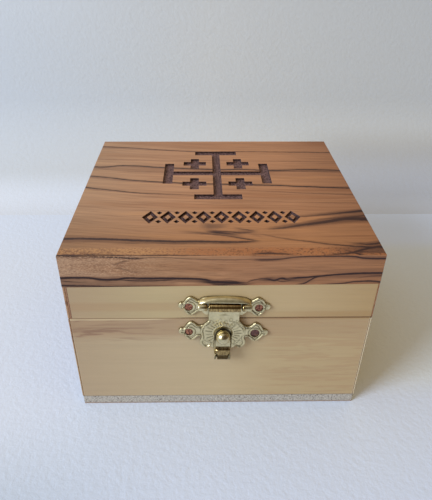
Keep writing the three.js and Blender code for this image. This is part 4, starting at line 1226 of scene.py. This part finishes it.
def make_metal():
    hasp_plate()
    hasp_leaf()
    catch_plate()
    catch_tongue()
    for i, catch_size in ((1, 1.33), (2, 1.51)):
        nail(f"hasp_tack_{i}", f"hasp_nail_{i}", "lid", -1, 1.33, 1.13)
        nail(f"catch_tack_{i}", f"catch_nail_{i}", "base", -1, catch_size, 1.11)
    for i in (1, 2, 3, 4):
        for body in ("lid", "base"):
            nail(f"hinge_{body}_tack_{i}", f"hinge_{body}_nail_{i}", body, 1)
    pin("hasp_rod", "hasp_pin", "lid", PIN_RADIUS, PLATE_TILT)
    pin("catch_rod", "catch_tongue_pin", "base", PIN_RADIUS, CATCH_TILT)
    for name, x in HINGE_PLACES.items():
        hinge_leaf(f"hinge_{name}_upper", f"hinge_{name}_lid_leaf", "lid", 1, x, [(-2.9, 2.9)])
        hinge_leaf(f"hinge_{name}_lower", f"hinge_{name}_base_leaf", "base", -1, x, [(-9, -3.2), (3.2, 9)])
        pin(f"hinge_{name}_rod", f"hinge_{name}_pin", "base", HINGE_PIN_RADIUS)


# Floor, wall and light

PAPER_HALF_SIDE = 2500
WALL_HEIGHT = 900
WALL_BEHIND = 146
WALL_BEND = 55
FLOOR_TONES = {0.0: (210, 219, 234), 1.0: (200, 213, 236)}
WALL_TONES = {0.0: (188, 195, 204), 0.5: (199, 202, 204), 1.0: (190, 194, 197)}
PAPER_FINISH = {"Roughness": 0.9, "Specular_IOR_Level": 0.2}


def strip(name, profile, material):
    """A wide sheet along x that follows (y, z) points, in millimetres."""
    mesh = bpy.data.meshes.new(name)
    vertices = [(x * MM, y * MM, z * MM) for y, z in profile for x in (-PAPER_HALF_SIDE, PAPER_HALF_SIDE)]
    faces = [(2 * i, 2 * i + 1, 2 * i + 3, 2 * i + 2) for i in range(len(profile) - 1)]
    mesh.from_pydata(vertices, [], faces)
    mesh.materials.append(material)
    for polygon in mesh.polygons:
        polygon.use_smooth = True
    obj = bpy.data.objects.new(name, mesh)
    scene.collection.objects.link(obj)
    return obj


def paper(name, tones):
    """Paper whose colour changes from left to right; also gives the share of the way to the right."""
    look = Look(name)
    tooth = look.noise(look.place, 0.45, 4.0, 0.6)
    share = look.step(look.x, -180, 180)
    look.bump(tooth, 0.25)
    look.body = look.ramp(share, tones)
    return look, share


def make_stage():
    look, _ = paper("floor_paper", FLOOR_TONES)
    # Painted shade makes it a little darker well in front, and painted warm light lies where the box's right
    # side throws light back
    edge = look.mix(look.step(look.x, -80, 0), (0.62, 0.68, 0.73, 1), (0.96, 0.98, 1.04, 1))
    look.paint(look.step(look.y, -44, -110), edge, "MULTIPLY")
    look.paint(look.step(look.y, 20, 90), (1.0, 1.03, 1.08, 1), "MULTIPLY")
    beside = look.window(look.x, 50, 120, 14) * look.window(look.y, -30, 50, 14)
    look.paint(beside, (1.0, 0.97, 0.86, 1), "MULTIPLY")
    strip("floor", [(-PAPER_HALF_SIDE, 0), (PAPER_HALF_SIDE, 0)], look.done(**PAPER_FINISH))

    # The wall stands far enough back for the open lid. It shows only to the camera and from its front.
    look, share = paper("wall_paper", WALL_TONES)
    # Painted light makes the wall brighter high on the left, and painted shade darker high on the right
    above = look.mix(look.step(look.x, -110, 0), (1.25, 1.22, 1.2, 1), (0.86, 0.87, 0.88, 1))
    look.paint(look.step(look.z, 66, 240), above, "MULTIPLY")
    # Painted shadow: the box keeps the light from the wall low on the right
    dim = (0.79, 0.77, 0.75, 1)
    shade = look.step(look.z, 40, 18) * look.step(look.x, 40, 95)
    look.paint(shade, dim, "MULTIPLY")
    # At its foot the wall takes the floor's colour, with the painted shadow on it too
    foot = look.step(look.z / look.mad(look.step(look.x, 20, 80), 16, 14), 1.0, 0.0)
    floor_tone = look.ramp(share, FLOOR_TONES)
    floor_tone = look.mix(shade * look.step(look.z, 0, 4, 0.6, 1.0), floor_tone, dim, "MULTIPLY")
    look.paint(foot, floor_tone)
    material = look.done(**PAPER_FINISH)
    clear = look.node("BsdfTransparent", {})
    behind = look.node("NewGeometry", {}, "Backfacing")
    front = Value(look, look.shader.outputs[0])
    look.put(look.output.inputs[0], look.node("MixShader", {0: behind, 1: front, 2: clear}))
    bend = [(WALL_BEHIND - WALL_BEND + WALL_BEND * math.sin(t), WALL_BEND - WALL_BEND * math.cos(t) + 0.02)
            for t in np.linspace(0, math.pi / 2, 33)]
    wall = strip("wall", bend + [(WALL_BEHIND, WALL_HEIGHT)], material)
    wall.visible_diffuse = wall.visible_glossy = wall.visible_shadow = False


def make_light():
    place, target = Vector((-0.85, -0.55, 0.62)), Vector((0, 0, 0.03))
    data = bpy.data.lights.new("window", "AREA")
    data.shape = "RECTANGLE"
    data.size, data.size_y = 0.42, 0.5
    data.energy = 11.3
    data.color = (0.89, 0.97, 1.07)
    lamp = bpy.data.objects.new("window", data)
    lamp.location = place
    lamp.rotation_euler = (target - place).to_track_quat("-Z", "Y").to_euler()
    scene.collection.objects.link(lamp)

    world = bpy.data.worlds.new("room")
    scene.world = world
    world.use_nodes = True
    graph = Graph(world.node_tree)
    direction = graph.node("TexCoord", {}, "Generated")
    x = graph.parts(direction)[0]
    plain = graph.mix(graph.step(x, -0.9, 0.5), (0.56, 0.66, 0.81, 1), (0.69, 0.49, 0.22, 1))
    # Gloss shows a room: light on the left, dark on the right and in front above the table
    room = graph.mix(graph.step(x, -0.25, 0.5), (0.85, 0.87, 0.88, 1), (0.16, 0.125, 0.09, 1))
    over_table = (0.22, -0.86, 0.46)
    near = graph.node("VectorMath", {0: direction, 1: over_table}, "Value", operation="DOT_PRODUCT")
    room = graph.mix(graph.step(near, 0.6, 0.88, 0, 0.95), room, (0.085, 0.065, 0.045, 1))
    glossy, camera = graph.node("LightPath", {}, ("Is Glossy Ray", "Is Camera Ray"))
    seen = graph.mix(camera, graph.mix(glossy, plain, room), (0.6, 0.64, 0.69, 1))
    graph.node("OutputWorld", {0: graph.node("Background", {0: seen})}, ())


make_camera()
dress_nodes()
make_metal()
make_stage()
make_light()
scene.view_settings.view_transform = "Standard"
